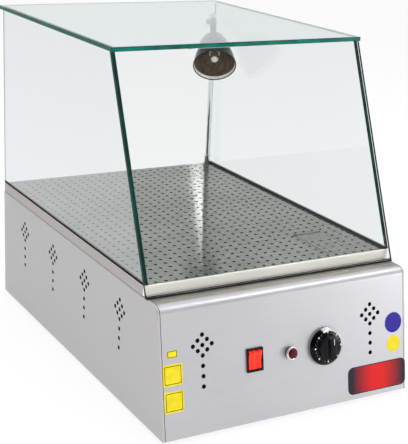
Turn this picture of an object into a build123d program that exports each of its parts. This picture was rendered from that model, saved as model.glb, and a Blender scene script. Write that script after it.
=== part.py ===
"""Heated counter-top display case.

A folded stainless base with a sloped control panel carries a perforated deck.
Four glass panes stand on it, open at the rear, and a swivelling lamp stands in
the rear right corner. A small hatch in the deck leads to a water pan.

Millimetres. +Z is up, the front faces -Y, and the origin lies on the table
under the middle of the case.
"""

import os
from math import atan2, cos, degrees, radians, sin, sqrt, tan

from build123d import *

os.makedirs("parts", exist_ok=True)

# Driving dimensions of the base
base_width = 400
base_depth = 600
base_height = 178
sheet = 1.5
panel_setback = 29.6
fold_radius = 12
front_flange = 92
top_flange = 15
plate_lip = 12

# Vent holes in the front and side panels
vent_diameter = 5.6
vent_pitch = 10
vent_sides = 4
vent_tail_first = 2
vent_tail_count = 3
front_vent_inset = 63.6
front_vent_height = 119.5
side_vent_height = 134.9
side_vent_start = 139.8
side_vent_spacing = 120.8
side_vent_count = 4

# Feet
foot_height = 6
foot_radius = 13
foot_taper = 2
foot_inset = 45
foot_recess_radius = 5
foot_recess_depth = 3.5

# Deck, with its holes on a square grid
deck_height = 15
deck_hole = 4.4
deck_pitch = 45.84
deck_rows = 11
deck_hole_inset = 21
deck_hole_margin = 12
deck_hole_y = 93.6
deck_glass_gap = 0.5

# Water hatch in the deck
hatch_inset = 74
hatch_width = 49
hatch_front = 83
hatch_rear = 178.5
hatch_gap = 1
hatch_ledge = 6
hinge_radius = 2
hinge_side_gap = 0.3
hinge_drop = 0.5
hinge_pin_radius = 1
hinge_leaf = 1
hinge_leaf_depth = 30
hinge_knuckle = 14
knuckle_gap = 0.2
fixed_leaf_depth = 10

# Water pan and its rails
pan_width = 110
pan_depth = 180
pan_height = 45
pan_wall = 1
pan_rim = 8
pan_corner = 14
pan_front = 96
rail_height = 30
rail_width = 16
rail_foot = 10

# Tubular heating element
element_radius = 4
element_bend = 55
element_inset = 110
element_front = 140
element_rear = 500
element_height = 52
bracket_width = 20
bracket_foot = 14
bracket_inset = 70
terminal_radius = 7
terminal_length = 26

# Controls on the sloped panel
control_height = 86.5
control_pitch = 57.6
control_x = -57.4
clearance = 0.05

# Rocker switch
switch_width = 25.5
switch_length = 33
switch_bezel = 2.6
switch_wall = 1.2
switch_depth = 24
switch_pocket = 9
switch_lip = 1.2
rocker_gap = 0.5
rocker_tilt = 7
rocker_end = 6.6
rocker_middle = 4.8
rocker_root = 2
rocker_axis_depth = 2.5
rocker_pin_radius = 1.5
rocker_pin_reach = 1.2

# Pilot light
pilot_radius = 9.6
pilot_height = 7.5
pilot_bore = 7.4
pilot_lens_gap = 0.2
pilot_lens_height = 9.5
pilot_lens_crown = 2
pilot_edge = 1.5
pilot_stem_radius = 6
pilot_stem_depth = 20
pilot_seat = 3
pilot_nut_flats = 17
pilot_nut_height = 5

# Heat regulator and its knob
regulator_width = 38
regulator_height = 44
regulator_depth = 30
regulator_corner = 3
shaft_radius = 3
shaft_flat = 1.5
shaft_depth = 12
shaft_hole = 4.5
bezel_radius = 25
bezel_height = 2
knob_lift = 2.6
knob_radius = 27
knob_ring_width = 2.4
knob_ring_bevel = 1.5
knob_skirt = 6
knob_grip_radius = 18
knob_grip_height = 15
knob_grip_taper = 6
knob_bar_width = 9
knob_bar_cut = 9
knob_wall = 3

# Glass
glass = 6
glass_lean = 22.2
glass_setback = 58.5
glass_inset = 1
cabinet_height = 303
roof_side_overhang = 1
roof_front_overhang = 2.5
roof_rear_overhang = 13
seal_height = 3
front_seal_height = 2

# Lamp
pole_side_inset = 14.5
pole_rear_inset = 8.5
pole_radius = 4
pole_thread = 9
collar_radius = 6
collar_height = 17
collar_edge = 0.8
pole_nut_flats = 10
pole_nut_height = 5
lamp_drop = 31.4
lamp_heading = 26.4
lamp_droop = 37
block_radius = 6.5
block_height = 16
shoulder_height = 3
cap_height = 4
cap_edge = 2
pivot_reach = 13
pivot_radius = 5.5
cheek = 3.5
tongue = 4.8
tongue_gap = 0.1
tilt_pin_radius = 2
thumb_radius = 5
thumb_length = 7
thumb_edge = 1.5
neck_radius = 5.5
neck_start = 9
socket_radius = 9.4
socket_length = 29
bulb_radius = 6.8
bulb_length = 16.5
bulb_crown = 5.4
shade_radius = 37
shade_back_radius = 15
shade_shoulder_radius = 20
shade_shoulder = 4
shade_belly_radius = 31.8
shade_belly = 24
shade_reach = 99.3
shade_depth = 57
shade_wall = 1
shade_lip = 1.3

# Rear fittings
gland_inset = 50
gland_height = 30
gland_radius = 8
gland_flange_radius = 12
gland_flange = 3
gland_length = 8
gland_bore = 4
gland_thread = 12
gland_nut_flats = 22
gland_nut_height = 5
terminal_block_width = 60
terminal_block_depth = 22
terminal_block_height = 18
terminal_block_back = 60
terminal_ways = 4

# Slope of the control panel, and where the case stands
slant = degrees(atan2(panel_setback, base_height))
slope = panel_setback / base_height
knob_reach = knob_lift + knob_skirt + knob_grip_height
knob_tip_radius = knob_grip_radius - knob_grip_height * tan(radians(knob_grip_taper))
front_lead = (
    knob_reach * cos(radians(slant))
    + knob_tip_radius * sin(radians(slant))
    - control_height * slope
)
front_y = (front_lead - base_depth - roof_rear_overhang) / 2
rear_y = front_y + base_depth
side_x = base_width / 2
hatch_x = side_x - hatch_inset
gland_x = side_x - gland_inset
base_bottom = foot_height
base_top = base_bottom + base_height
floor_top = base_bottom + sheet
deck_top = base_top + deck_height
deck_under = deck_top - sheet
roof_under = base_top + cabinet_height
inner_sheet = sheet / cos(radians(slant))

# Lines of the front glass, in the side view
lean = tan(radians(glass_lean))
glass_run = glass / cos(radians(glass_lean))
glass_foot = front_y + glass_setback


def glass_outer(z):
    """How far back the front glass's outer face is at a height."""
    return glass_foot + (z - base_top) * lean


def glass_inner(z):
    """How far back the front glass's inner face is at a height."""
    return glass_outer(z) + glass_run


def on_panel(x, height, lift=0):
    """Plane on the sloped control panel, its normal pointing outwards."""
    origin = (x, front_y + slope * height, base_bottom + height)
    normal = (0, -cos(radians(slant)), sin(radians(slant)))
    return Plane(origin=origin, x_dir=(1, 0, 0), z_dir=normal).offset(lift)


# Section of the folded front sheet, drawn as Y across and Z up
fold_corner = (front_y + panel_setback, base_top)
with BuildSketch() as front_section:
    with BuildLine():
        FilletPolyline(
            (front_y, base_bottom),
            fold_corner,
            (front_y + front_flange, base_top),
            radius=fold_radius,
        )
        offset(amount=-sheet, side=Side.RIGHT)
    make_face()

# One group of vent holes: a square set on its corner, with a tail below it
vent_step = vent_pitch * sqrt(2)
with BuildSketch() as vent_group:
    with Locations(Location((0, 0), 45)):
        with GridLocations(vent_pitch, vent_pitch, 3, 3):
            RegularPolygon(vent_diameter / 2, vent_sides)
    tail = [(0, -vent_step * (vent_tail_first + i)) for i in range(vent_tail_count)]
    with Locations(*tail):
        RegularPolygon(vent_diameter / 2, vent_sides)

# Front panel
switch_plane = on_panel(control_x, control_height)
pilot_x = control_x + control_pitch
pilot_plane = on_panel(pilot_x, control_height)
knob_x = control_x + 2 * control_pitch
knob_plane = on_panel(knob_x, control_height)
switch_hole_width = switch_width - 2 * switch_lip
switch_hole_length = switch_length - 2 * switch_lip
front_vent_x = side_x - front_vent_inset

with BuildPart() as front_panel:
    with BuildSketch(Plane.YZ.offset(-side_x)):
        add(front_section.sketch)
    extrude(amount=base_width)
    split(bisect_by=Plane.XY.offset(base_bottom), keep=Keep.TOP)
    for vent_x in (-front_vent_x, front_vent_x):
        with BuildSketch(on_panel(vent_x, front_vent_height)):
            add(vent_group.sketch)
        extrude(amount=-2 * sheet, mode=Mode.SUBTRACT)
    with BuildSketch(switch_plane):
        Rectangle(switch_hole_width, switch_hole_length)
    extrude(amount=-2 * sheet, mode=Mode.SUBTRACT)
    with BuildSketch(pilot_plane):
        Circle(pilot_stem_radius + clearance)
    extrude(amount=-2 * sheet, mode=Mode.SUBTRACT)
    with BuildSketch(knob_plane):
        Circle(shaft_hole)
    extrude(amount=-2 * sheet, mode=Mode.SUBTRACT)
front_panel.part.label = "front_panel"
export_step(front_panel.part, "parts/front_panel.step")

# Side panels, with the vents and a flange turned in under the deck
with BuildPart() as left_side_panel:
    with BuildSketch(Plane.YZ.offset(-side_x)):
        with BuildLine():
            Polyline(
                (front_y, base_bottom),
                fold_corner,
                (rear_y, base_top),
                (rear_y, base_bottom),
                close=True,
            )
        make_face()
        fillet(vertices().sort_by_distance(fold_corner)[0], fold_radius)
    extrude(amount=sheet)
    with BuildSketch(Plane.YZ.offset(-side_x)):
        add(front_section.sketch)
    extrude(amount=sheet, mode=Mode.SUBTRACT)
    with BuildSketch(Plane.XY.offset(base_top - sheet)):
        with Locations((-side_x + sheet, front_y + front_flange)):
            Rectangle(
                top_flange,
                base_depth - front_flange - sheet,
                align=(Align.MIN, Align.MIN),
            )
    extrude(amount=sheet)
    with BuildSketch(Plane.XY.offset(base_bottom)):
        with Locations((-side_x, rear_y - sheet)):
            Rectangle(sheet, sheet, align=Align.MIN)
    extrude(amount=base_height, mode=Mode.SUBTRACT)
    vent_rows = [
        (front_y + side_vent_start + i * side_vent_spacing, base_bottom + side_vent_height)
        for i in range(side_vent_count)
    ]
    with BuildSketch(Plane.YZ.offset(-side_x)):
        with Locations(*vent_rows):
            add(vent_group.sketch)
    extrude(amount=sheet, mode=Mode.SUBTRACT)
left_side_panel.part.label = "left_side_panel"
export_step(left_side_panel.part, "parts/left_side_panel.step")

with BuildPart() as right_side_panel:
    mirror(left_side_panel.part, about=Plane.YZ)
right_side_panel.part.label = "right_side_panel"
export_step(right_side_panel.part, "parts/right_side_panel.step")

# Rear panel, with a flange under the deck and a hole for the cable gland
rear_inner = rear_y - sheet
rear_plane = Plane(origin=(0, rear_y, 0), x_dir=(-1, 0, 0), z_dir=(0, 1, 0))
gland_spot = (-gland_x, base_bottom + gland_height)

with BuildPart() as rear_panel:
    with BuildSketch(rear_plane):
        with Locations((0, base_bottom)):
            Rectangle(base_width, base_height, align=(Align.CENTER, Align.MIN))
        with Locations(gland_spot):
            Circle(gland_radius + clearance, mode=Mode.SUBTRACT)
    extrude(amount=-sheet)
    with BuildSketch(Plane.XY.offset(base_top - sheet)):
        with Locations((0, rear_inner)):
            Rectangle(
                base_width - 2 * (sheet + top_flange),
                top_flange,
                align=(Align.CENTER, Align.MAX),
            )
    extrude(amount=sheet)
rear_panel.part.label = "rear_panel"
export_step(rear_panel.part, "parts/rear_panel.step")

# Bottom plate, a shallow tray between the panels
plate_front = front_y + slope * sheet + inner_sheet
plate_length = rear_inner - plate_front
plate_width = base_width - 2 * sheet
foot_y_front = front_y + foot_inset
foot_y_rear = rear_y - foot_inset
foot_x = side_x - foot_inset
foot_spots = [
    (-foot_x, foot_y_front),
    (foot_x, foot_y_front),
    (-foot_x, foot_y_rear),
    (foot_x, foot_y_rear),
]
lip_front = front_y + slope * (plate_lip + sheet) + inner_sheet

with BuildPart() as bottom_plate:
    with BuildSketch(Plane.XY.offset(base_bottom)):
        with Locations((0, plate_front)):
            Rectangle(plate_width, plate_length, align=(Align.CENTER, Align.MIN))
    extrude(amount=sheet)
    with BuildSketch(Plane.XY.offset(floor_top)):
        with Locations((0, rear_inner)):
            Rectangle(plate_width, sheet, align=(Align.CENTER, Align.MAX))
        for end, align in ((-plate_width / 2, Align.MIN), (plate_width / 2, Align.MAX)):
            with Locations((end, rear_inner)):
                Rectangle(sheet, rear_inner - lip_front, align=(align, Align.MAX))
    extrude(amount=plate_lip)
bottom_plate.part.label = "bottom_plate"
export_step(bottom_plate.part, "parts/bottom_plate.step")

# Rubber feet
foot_names = ("foot_front_left", "foot_front_right", "foot_rear_left", "foot_rear_right")
for foot_name, (x, y) in zip(foot_names, foot_spots):
    with BuildPart() as foot:
        with BuildSketch(Plane.XY):
            with Locations((x, y)):
                Circle(foot_radius - foot_taper)
        with BuildSketch(Plane.XY.offset(foot_height)):
            with Locations((x, y)):
                Circle(foot_radius)
        loft()
        with BuildSketch(Plane.XY):
            with Locations((x, y)):
                Circle(foot_recess_radius)
        extrude(amount=foot_recess_depth, mode=Mode.SUBTRACT)
    foot.part.label = foot_name
    export_step(foot.part, f"parts/{foot_name}.step")

# Perforated deck, a box lid without its bottom, with the hatch opening and a ledge for its lid
deck_front = glass_inner(deck_top) + deck_glass_gap
deck_length = rear_y - deck_front
hatch_length = hatch_rear - hatch_front
hatch_middle = front_y + (hatch_front + hatch_rear) / 2
pole_x = side_x - pole_side_inset
pole_y = rear_y - pole_rear_inset
hole_left = -side_x + deck_hole_inset
hole_front = front_y + deck_hole_y
deck_columns = 1 + int((side_x - deck_hole_margin - hole_left) / deck_pitch)
holes = [
    (hole_left + column * deck_pitch, hole_front + row * deck_pitch)
    for column in range(deck_columns)
    for row in range(deck_rows)
]


def clear_of(spot, centre, half_width, half_length):
    """Whether a deck hole lies outside a rectangle."""
    outside_x = abs(spot[0] - centre[0]) > half_width + deck_hole
    outside_y = abs(spot[1] - centre[1]) > half_length + deck_hole
    return outside_x or outside_y


deck_holes = [
    spot
    for spot in holes
    if clear_of(spot, (hatch_x, hatch_middle), hatch_width / 2, hatch_length / 2)
    and clear_of(spot, (pole_x, pole_y), collar_radius, collar_radius)
]
lid_holes = [
    spot
    for spot in holes
    if not clear_of(
        spot,
        (hatch_x, hatch_middle - hinge_leaf_depth / 2),
        hatch_width / 2 - 2 * deck_hole,
        hatch_length / 2 - hinge_leaf_depth / 2 - 2 * deck_hole,
    )
]

with BuildPart() as perforated_deck:
    with BuildSketch(Plane.XY.offset(base_top)):
        with Locations((0, deck_front)):
            Rectangle(base_width, deck_length, align=(Align.CENTER, Align.MIN))
        with Locations((0, deck_front + sheet)):
            Rectangle(
                base_width - 2 * sheet,
                deck_length - 2 * sheet,
                align=(Align.CENTER, Align.MIN),
                mode=Mode.SUBTRACT,
            )
    extrude(amount=deck_height)
    with BuildSketch(Plane.XY.offset(deck_under)):
        with Locations((0, deck_front)):
            Rectangle(base_width, deck_length, align=(Align.CENTER, Align.MIN))
        with Locations((hatch_x, hatch_middle)):
            Rectangle(hatch_width, hatch_length, mode=Mode.SUBTRACT)
        with Locations((pole_x, pole_y)):
            Circle(pole_radius + clearance, mode=Mode.SUBTRACT)
        with Locations(*deck_holes):
            Rectangle(deck_hole, deck_hole, rotation=45, mode=Mode.SUBTRACT)
    extrude(amount=sheet)
    with BuildSketch(Plane.XY.offset(deck_under)):
        with Locations((hatch_x, front_y + hatch_front)):
            Rectangle(hatch_width - 2 * hatch_gap, 2 * hatch_ledge)
    extrude(amount=-sheet)
perforated_deck.part.label = "perforated_deck"
export_step(perforated_deck.part, "parts/perforated_deck.step")

# Hatch lid with the hinge leaf under it and the middle knuckle
hinge_side = hinge_radius + hinge_side_gap
hinge_leaf_width = 3 * hinge_knuckle + 2 * knuckle_gap
hatch_edge = front_y + hatch_rear
hinge_y = hatch_edge - hinge_side
hinge_z = deck_top - hinge_drop
lid_rear = hinge_y - hinge_side
lid_front = front_y + hatch_front + hatch_gap
hinge_axis_plane = Plane(origin=(hatch_x, hinge_y, hinge_z), x_dir=(0, 1, 0), z_dir=(1, 0, 0))

with BuildPart() as hatch_lid:
    with BuildSketch(Plane.XY.offset(deck_under)):
        with Locations((hatch_x, lid_front)):
            Rectangle(
                hatch_width - 2 * hatch_gap,
                lid_rear - lid_front,
                align=(Align.CENTER, Align.MIN),
            )
        with Locations(*lid_holes):
            Rectangle(deck_hole, deck_hole, rotation=45, mode=Mode.SUBTRACT)
    extrude(amount=sheet)
    with BuildSketch(Plane.XY.offset(deck_under)):
        with Locations((hatch_x, lid_rear)):
            Rectangle(hinge_leaf_width, hinge_leaf_depth, align=(Align.CENTER, Align.MAX))
            Rectangle(hinge_knuckle, hinge_side, align=(Align.CENTER, Align.MIN))
    extrude(amount=-hinge_leaf)
    with BuildSketch(hinge_axis_plane):
        Circle(hinge_radius)
    extrude(amount=hinge_knuckle / 2, both=True)
    with BuildSketch(hinge_axis_plane):
        Circle(hinge_pin_radius + clearance)
    extrude(amount=hinge_knuckle, both=True, mode=Mode.SUBTRACT)
hatch_lid.part.label = "hatch_lid"
export_step(hatch_lid.part, "parts/hatch_lid.step")

# Fixed hinge half: two knuckles on a leaf riveted under the deck behind the hatch
knuckle_offset = hinge_knuckle + knuckle_gap
with BuildPart() as hatch_hinge:
    for side in (-1, 1):
        knuckle_plane = hinge_axis_plane.offset(side * knuckle_offset)
        with BuildSketch(knuckle_plane):
            Circle(hinge_radius)
        extrude(amount=hinge_knuckle / 2, both=True)
    with BuildSketch(Plane.XY.offset(deck_under)):
        with Locations((hatch_x, hatch_edge)):
            Rectangle(hinge_leaf_width, fixed_leaf_depth, align=(Align.CENTER, Align.MIN))
        with Locations((hatch_x - knuckle_offset, hinge_y), (hatch_x + knuckle_offset, hinge_y)):
            Rectangle(hinge_knuckle, hinge_side, align=(Align.CENTER, Align.MIN))
    extrude(amount=-hinge_leaf)
    with BuildSketch(hinge_axis_plane):
        Circle(hinge_pin_radius)
    extrude(amount=2 * hinge_knuckle, both=True, mode=Mode.SUBTRACT)
hatch_hinge.part.label = "hatch_hinge"
export_step(hatch_hinge.part, "parts/hatch_hinge.step")

with BuildPart() as hatch_hinge_pin:
    with BuildSketch(hinge_axis_plane):
        Circle(hinge_pin_radius)
    extrude(amount=knuckle_offset + hinge_knuckle / 2, both=True)
hatch_hinge_pin.part.label = "hatch_hinge_pin"
export_step(hatch_hinge_pin.part, "parts/hatch_hinge_pin.step")

# Water pan, drawn from sheet, hung by its rim on two rails
pan_x = side_x - sheet * 2 - pan_width / 2 - pan_rim
pan_y = front_y + pan_front + pan_depth / 2
pan_floor = floor_top + rail_height
with BuildPart() as water_pan:
    with BuildSketch(Plane.XY.offset(pan_floor)):
        with Locations((pan_x, pan_y)):
            RectangleRounded(pan_width, pan_depth, pan_corner)
    extrude(amount=pan_height)
    with BuildSketch(Plane.XY.offset(pan_floor + pan_wall)):
        with Locations((pan_x, pan_y)):
            RectangleRounded(
                pan_width - 2 * pan_wall, pan_depth - 2 * pan_wall, pan_corner - pan_wall
            )
    extrude(amount=pan_height, mode=Mode.SUBTRACT)
    with BuildSketch(Plane.XY.offset(pan_floor + pan_height - pan_wall)):
        with Locations((pan_x, pan_y)):
            RectangleRounded(
                pan_width + 2 * pan_rim, pan_depth + 2 * pan_rim, pan_corner + pan_rim
            )
            RectangleRounded(
                pan_width - 2 * pan_wall,
                pan_depth - 2 * pan_wall,
                pan_corner - pan_wall,
                mode=Mode.SUBTRACT,
            )
    extrude(amount=pan_wall)
water_pan.part.label = "water_pan"
export_step(water_pan.part, "parts/water_pan.step")

# Hat-section rails that carry the pan
rail_spots = {
    "pan_rail_left": pan_x - pan_width / 4,
    "pan_rail_right": pan_x + pan_width / 4,
}
for rail_name, x in rail_spots.items():
    with BuildPart() as rail:
        with BuildSketch(Plane.XZ.offset(-(pan_y + pan_depth / 2))):
            with BuildLine():
                Polyline(
                    (x - rail_width / 2 - rail_foot, floor_top),
                    (x - rail_width / 2, floor_top),
                    (x - rail_width / 2, floor_top + rail_height - sheet),
                    (x + rail_width / 2, floor_top + rail_height - sheet),
                    (x + rail_width / 2, floor_top),
                    (x + rail_width / 2 + rail_foot, floor_top),
                )
                offset(amount=sheet, side=Side.LEFT)
            make_face()
        extrude(amount=pan_depth)
    rail.part.label = rail_name
    export_step(rail.part, f"parts/{rail_name}.step")

# Heating element, a tube bent to a U
element_x = -side_x + element_inset
element_z = floor_top + element_height
leg_x = (element_x - element_bend, element_x + element_bend)
bend_y = front_y + element_front + element_bend
end_y = front_y + element_rear
with BuildPart() as heating_element:
    with BuildLine() as element_path:
        Line((leg_x[0], end_y, element_z), (leg_x[0], bend_y, element_z))
        ThreePointArc(
            (leg_x[0], bend_y, element_z),
            (element_x, bend_y - element_bend, element_z),
            (leg_x[1], bend_y, element_z),
        )
        Line((leg_x[1], bend_y, element_z), (leg_x[1], end_y, element_z))
    end_plane = Plane(
        origin=(leg_x[0], end_y, element_z), x_dir=(1, 0, 0), z_dir=(0, -1, 0)
    )
    with BuildSketch(end_plane):
        Circle(element_radius)
    sweep(path=element_path.wires()[0])
heating_element.part.label = "heating_element"
export_step(heating_element.part, "parts/heating_element.step")

with BuildPart() as element_terminals:
    terminal_plane = Plane(origin=(0, end_y, element_z), x_dir=(-1, 0, 0), z_dir=(0, 1, 0))
    with BuildSketch(terminal_plane):
        with Locations((-leg_x[0], 0), (-leg_x[1], 0)):
            Circle(terminal_radius)
    extrude(amount=terminal_length)
element_terminals.part.label = "element_terminals"
export_step(element_terminals.part, "parts/element_terminals.step")

# Brackets that carry the element
bracket_top = element_z - element_radius
bracket_ys = {
    "element_bracket_front": bend_y + bracket_inset,
    "element_bracket_rear": end_y - bracket_inset,
}
for bracket_name, y in bracket_ys.items():
    with BuildPart() as bracket:
        with BuildSketch(Plane.XZ.offset(-(y + bracket_width / 2))):
            with BuildLine():
                Polyline(
                    (leg_x[0] - 2 * bracket_foot, floor_top),
                    (leg_x[0] - bracket_foot, floor_top),
                    (leg_x[0] - bracket_foot, bracket_top - sheet),
                    (leg_x[1] + bracket_foot, bracket_top - sheet),
                    (leg_x[1] + bracket_foot, floor_top),
                    (leg_x[1] + 2 * bracket_foot, floor_top),
                )
                offset(amount=sheet, side=Side.LEFT)
            make_face()
        extrude(amount=bracket_width)
    bracket.part.label = bracket_name
    export_step(bracket.part, f"parts/{bracket_name}.step")

# Rocker switch: a housing clipped in the panel and the rocker in its pocket
pocket_width = switch_hole_width - 2 * switch_wall
pocket_length = switch_hole_length - 2 * switch_wall
rocker_axis = Axis(switch_plane.offset(-rocker_axis_depth).origin, (1, 0, 0))
pin_plane = Plane(
    origin=switch_plane.offset(-rocker_axis_depth).origin,
    x_dir=switch_plane.y_dir,
    z_dir=(1, 0, 0),
)
rocker_width = pocket_width - 2 * rocker_gap
rocker_radius = pocket_length / 2 - rocker_gap
end_reach = sqrt(rocker_radius**2 - rocker_end**2)
root_reach = sqrt(rocker_radius**2 - rocker_root**2)
pin_half = rocker_width / 2 + rocker_gap + rocker_pin_reach

with BuildPart() as switch_housing:
    with BuildSketch(switch_plane):
        RectangleRounded(switch_width, switch_length, switch_lip)
    extrude(amount=switch_bezel)
    with BuildSketch(switch_plane):
        Rectangle(switch_hole_width, switch_hole_length)
    extrude(amount=-switch_depth)
    with BuildSketch(switch_plane.offset(switch_bezel)):
        Rectangle(pocket_width, pocket_length)
    extrude(amount=-switch_bezel - switch_pocket, mode=Mode.SUBTRACT)
    with BuildSketch(pin_plane):
        Circle(rocker_pin_radius + clearance)
    extrude(amount=pin_half, both=True, mode=Mode.SUBTRACT)
switch_housing.part.label = "switch_housing"
export_step(switch_housing.part, "parts/switch_housing.step")

with BuildPart() as rocker:
    with BuildSketch(pin_plane):
        with BuildLine():
            Polyline((-end_reach, rocker_end), (0, rocker_middle), (end_reach, rocker_end))
            ThreePointArc((end_reach, rocker_end), (rocker_radius, 0), (root_reach, -rocker_root))
            Line((root_reach, -rocker_root), (-root_reach, -rocker_root))
            ThreePointArc(
                (-root_reach, -rocker_root), (-rocker_radius, 0), (-end_reach, rocker_end)
            )
        make_face()
    extrude(amount=rocker_width / 2, both=True)
    with BuildSketch(pin_plane):
        Circle(rocker_pin_radius)
    extrude(amount=pin_half, both=True)
rocker_solid = rocker.part.rotate(rocker_axis, rocker_tilt)
rocker_solid.label = "rocker"
export_step(rocker_solid, "parts/rocker.step")

# Pilot light: chrome housing, red lens and the nut behind the panel
with BuildPart() as pilot_housing:
    with BuildSketch(pilot_plane):
        Circle(pilot_radius)
    extrude(amount=pilot_height)
    chamfer(edges().sort_by(Axis(pilot_plane.origin, pilot_plane.z_dir)).last, pilot_edge)
    with BuildSketch(pilot_plane):
        Circle(pilot_stem_radius)
    extrude(amount=-pilot_stem_depth)
    with BuildSketch(pilot_plane.offset(pilot_seat)):
        Circle(pilot_bore)
    extrude(amount=pilot_height, mode=Mode.SUBTRACT)
pilot_housing.part.label = "pilot_housing"
export_step(pilot_housing.part, "parts/pilot_housing.step")

with BuildPart() as pilot_lens:
    with BuildSketch(pilot_plane.offset(pilot_seat)):
        Circle(pilot_bore - pilot_lens_gap)
    extrude(amount=pilot_lens_height - pilot_seat)
    chamfer(edges().sort_by(Axis(pilot_plane.origin, pilot_plane.z_dir)).last, pilot_lens_crown)
pilot_lens.part.label = "pilot_lens"
export_step(pilot_lens.part, "parts/pilot_lens.step")

with BuildPart() as pilot_nut:
    with BuildSketch(pilot_plane.offset(-sheet)):
        RegularPolygon(pilot_nut_flats / 2, 6, major_radius=False)
        Circle(pilot_stem_radius + clearance, mode=Mode.SUBTRACT)
    extrude(amount=-pilot_nut_height)
pilot_nut.part.label = "pilot_nut"
export_step(pilot_nut.part, "parts/pilot_nut.step")

# Heat regulator behind the panel, and the shaft that the knob turns
with BuildPart() as regulator_body:
    with BuildSketch(knob_plane.offset(-sheet)):
        RectangleRounded(regulator_width, regulator_height, regulator_corner)
        Circle(shaft_radius + clearance, mode=Mode.SUBTRACT)
    extrude(amount=-regulator_depth)
regulator_body.part.label = "regulator_body"
export_step(regulator_body.part, "parts/regulator_body.step")

shaft_tip = knob_lift + knob_skirt + knob_grip_height - knob_wall
with BuildPart() as regulator_shaft:
    with BuildSketch(knob_plane.offset(-sheet - shaft_depth)):
        Circle(shaft_radius)
    extrude(amount=sheet + shaft_depth + knob_lift)
    with BuildSketch(knob_plane.offset(knob_lift)):
        Circle(shaft_radius)
        with Locations((0, shaft_radius)):
            Rectangle(
                2 * shaft_radius,
                shaft_flat,
                align=(Align.CENTER, Align.MAX),
                mode=Mode.SUBTRACT,
            )
    extrude(amount=shaft_tip - knob_lift)
regulator_shaft.part.label = "regulator_shaft"
export_step(regulator_shaft.part, "parts/regulator_shaft.step")

with BuildPart() as knob_bezel:
    with BuildSketch(knob_plane):
        Circle(bezel_radius)
        Circle(shaft_hole, mode=Mode.SUBTRACT)
    extrude(amount=bezel_height)
knob_bezel.part.label = "knob_bezel"
export_step(knob_bezel.part, "parts/knob_bezel.step")

# Knob: skirt, tapered grip with a finger bar, and a bright ring on the skirt
skirt_radius = knob_radius - knob_ring_width
skirt_top = knob_lift + knob_skirt
bar_side = knob_bar_width / 2 + knob_grip_radius / 2
with BuildPart() as knob:
    with BuildSketch(knob_plane.offset(knob_lift)):
        Circle(skirt_radius)
    extrude(amount=knob_skirt)
    with BuildSketch(knob_plane.offset(skirt_top)):
        Circle(knob_grip_radius)
    extrude(amount=knob_grip_height, taper=knob_grip_taper)
    with BuildSketch(knob_plane.offset(knob_reach)):
        with Locations((-bar_side, 0), (bar_side, 0)):
            Rectangle(knob_grip_radius, 2 * knob_grip_radius)
    extrude(amount=-knob_bar_cut, mode=Mode.SUBTRACT)
    with BuildSketch(knob_plane.offset(knob_lift)):
        Circle(shaft_radius)
        with Locations((0, shaft_radius)):
            Rectangle(
                2 * shaft_radius,
                shaft_flat,
                align=(Align.CENTER, Align.MAX),
                mode=Mode.SUBTRACT,
            )
    extrude(amount=shaft_tip - knob_lift, mode=Mode.SUBTRACT)
knob.part.label = "knob"
export_step(knob.part, "parts/knob.step")

with BuildPart() as knob_ring:
    with BuildSketch(knob_plane.offset(knob_lift)):
        Circle(knob_radius)
        Circle(skirt_radius, mode=Mode.SUBTRACT)
    extrude(amount=knob_skirt)
    chamfer(
        edges().group_by(Axis(knob_plane.origin, knob_plane.z_dir))[-1].sort_by(SortBy.LENGTH)[-1],
        knob_ring_bevel,
    )
knob_ring.part.label = "knob_ring"
export_step(knob_ring.part, "parts/knob_ring.step")

# Glass panes: two sides and the leaning front, closed by the roof
pane_outer = side_x - glass_inset
pane_bottom = deck_top + seal_height

with BuildPart() as glass_left:
    with BuildSketch(Plane.YZ.offset(-pane_outer)):
        with BuildLine():
            Polyline(
                (glass_inner(pane_bottom), pane_bottom),
                (glass_inner(roof_under), roof_under),
                (rear_y, roof_under),
                (rear_y, pane_bottom),
                close=True,
            )
        make_face()
    extrude(amount=glass)
glass_left.part.label = "glass_left"
export_step(glass_left.part, "parts/glass_left.step")

with BuildPart() as glass_right:
    mirror(glass_left.part, about=Plane.YZ)
glass_right.part.label = "glass_right"
export_step(glass_right.part, "parts/glass_right.step")

front_pane_bottom = base_top + front_seal_height
with BuildPart() as glass_front:
    with BuildSketch(Plane.YZ.offset(-side_x)):
        with BuildLine():
            Polyline(
                (glass_outer(front_pane_bottom), front_pane_bottom),
                (glass_outer(roof_under), roof_under),
                (glass_inner(roof_under), roof_under),
                (glass_inner(front_pane_bottom), front_pane_bottom),
                close=True,
            )
        make_face()
    extrude(amount=base_width)
glass_front.part.label = "glass_front"
export_step(glass_front.part, "parts/glass_front.step")

roof_front = glass_outer(roof_under) - roof_front_overhang
with BuildPart() as glass_top:
    with BuildSketch(Plane.XY.offset(roof_under)):
        with Locations((0, roof_front)):
            Rectangle(
                base_width + 2 * roof_side_overhang,
                rear_y + roof_rear_overhang - roof_front,
                align=(Align.CENTER, Align.MIN),
            )
    extrude(amount=glass)
glass_top.part.label = "glass_top"
export_step(glass_top.part, "parts/glass_top.step")

# Black seal strips under the panes
with BuildPart() as seal_left:
    with BuildSketch(Plane.XY.offset(deck_top)):
        with Locations((-pane_outer, glass_inner(pane_bottom))):
            Rectangle(glass, rear_y - glass_inner(pane_bottom), align=Align.MIN)
    extrude(amount=seal_height)
seal_left.part.label = "seal_left"
export_step(seal_left.part, "parts/seal_left.step")

with BuildPart() as seal_right:
    mirror(seal_left.part, about=Plane.YZ)
seal_right.part.label = "seal_right"
export_step(seal_right.part, "parts/seal_right.step")

with BuildPart() as seal_front:
    with BuildSketch(Plane.XY.offset(base_top)):
        with Locations((0, glass_outer(front_pane_bottom))):
            Rectangle(base_width, glass_run, align=(Align.CENTER, Align.MIN))
    extrude(amount=front_seal_height)
seal_front.part.label = "seal_front"
export_step(seal_front.part, "parts/seal_front.step")

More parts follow.
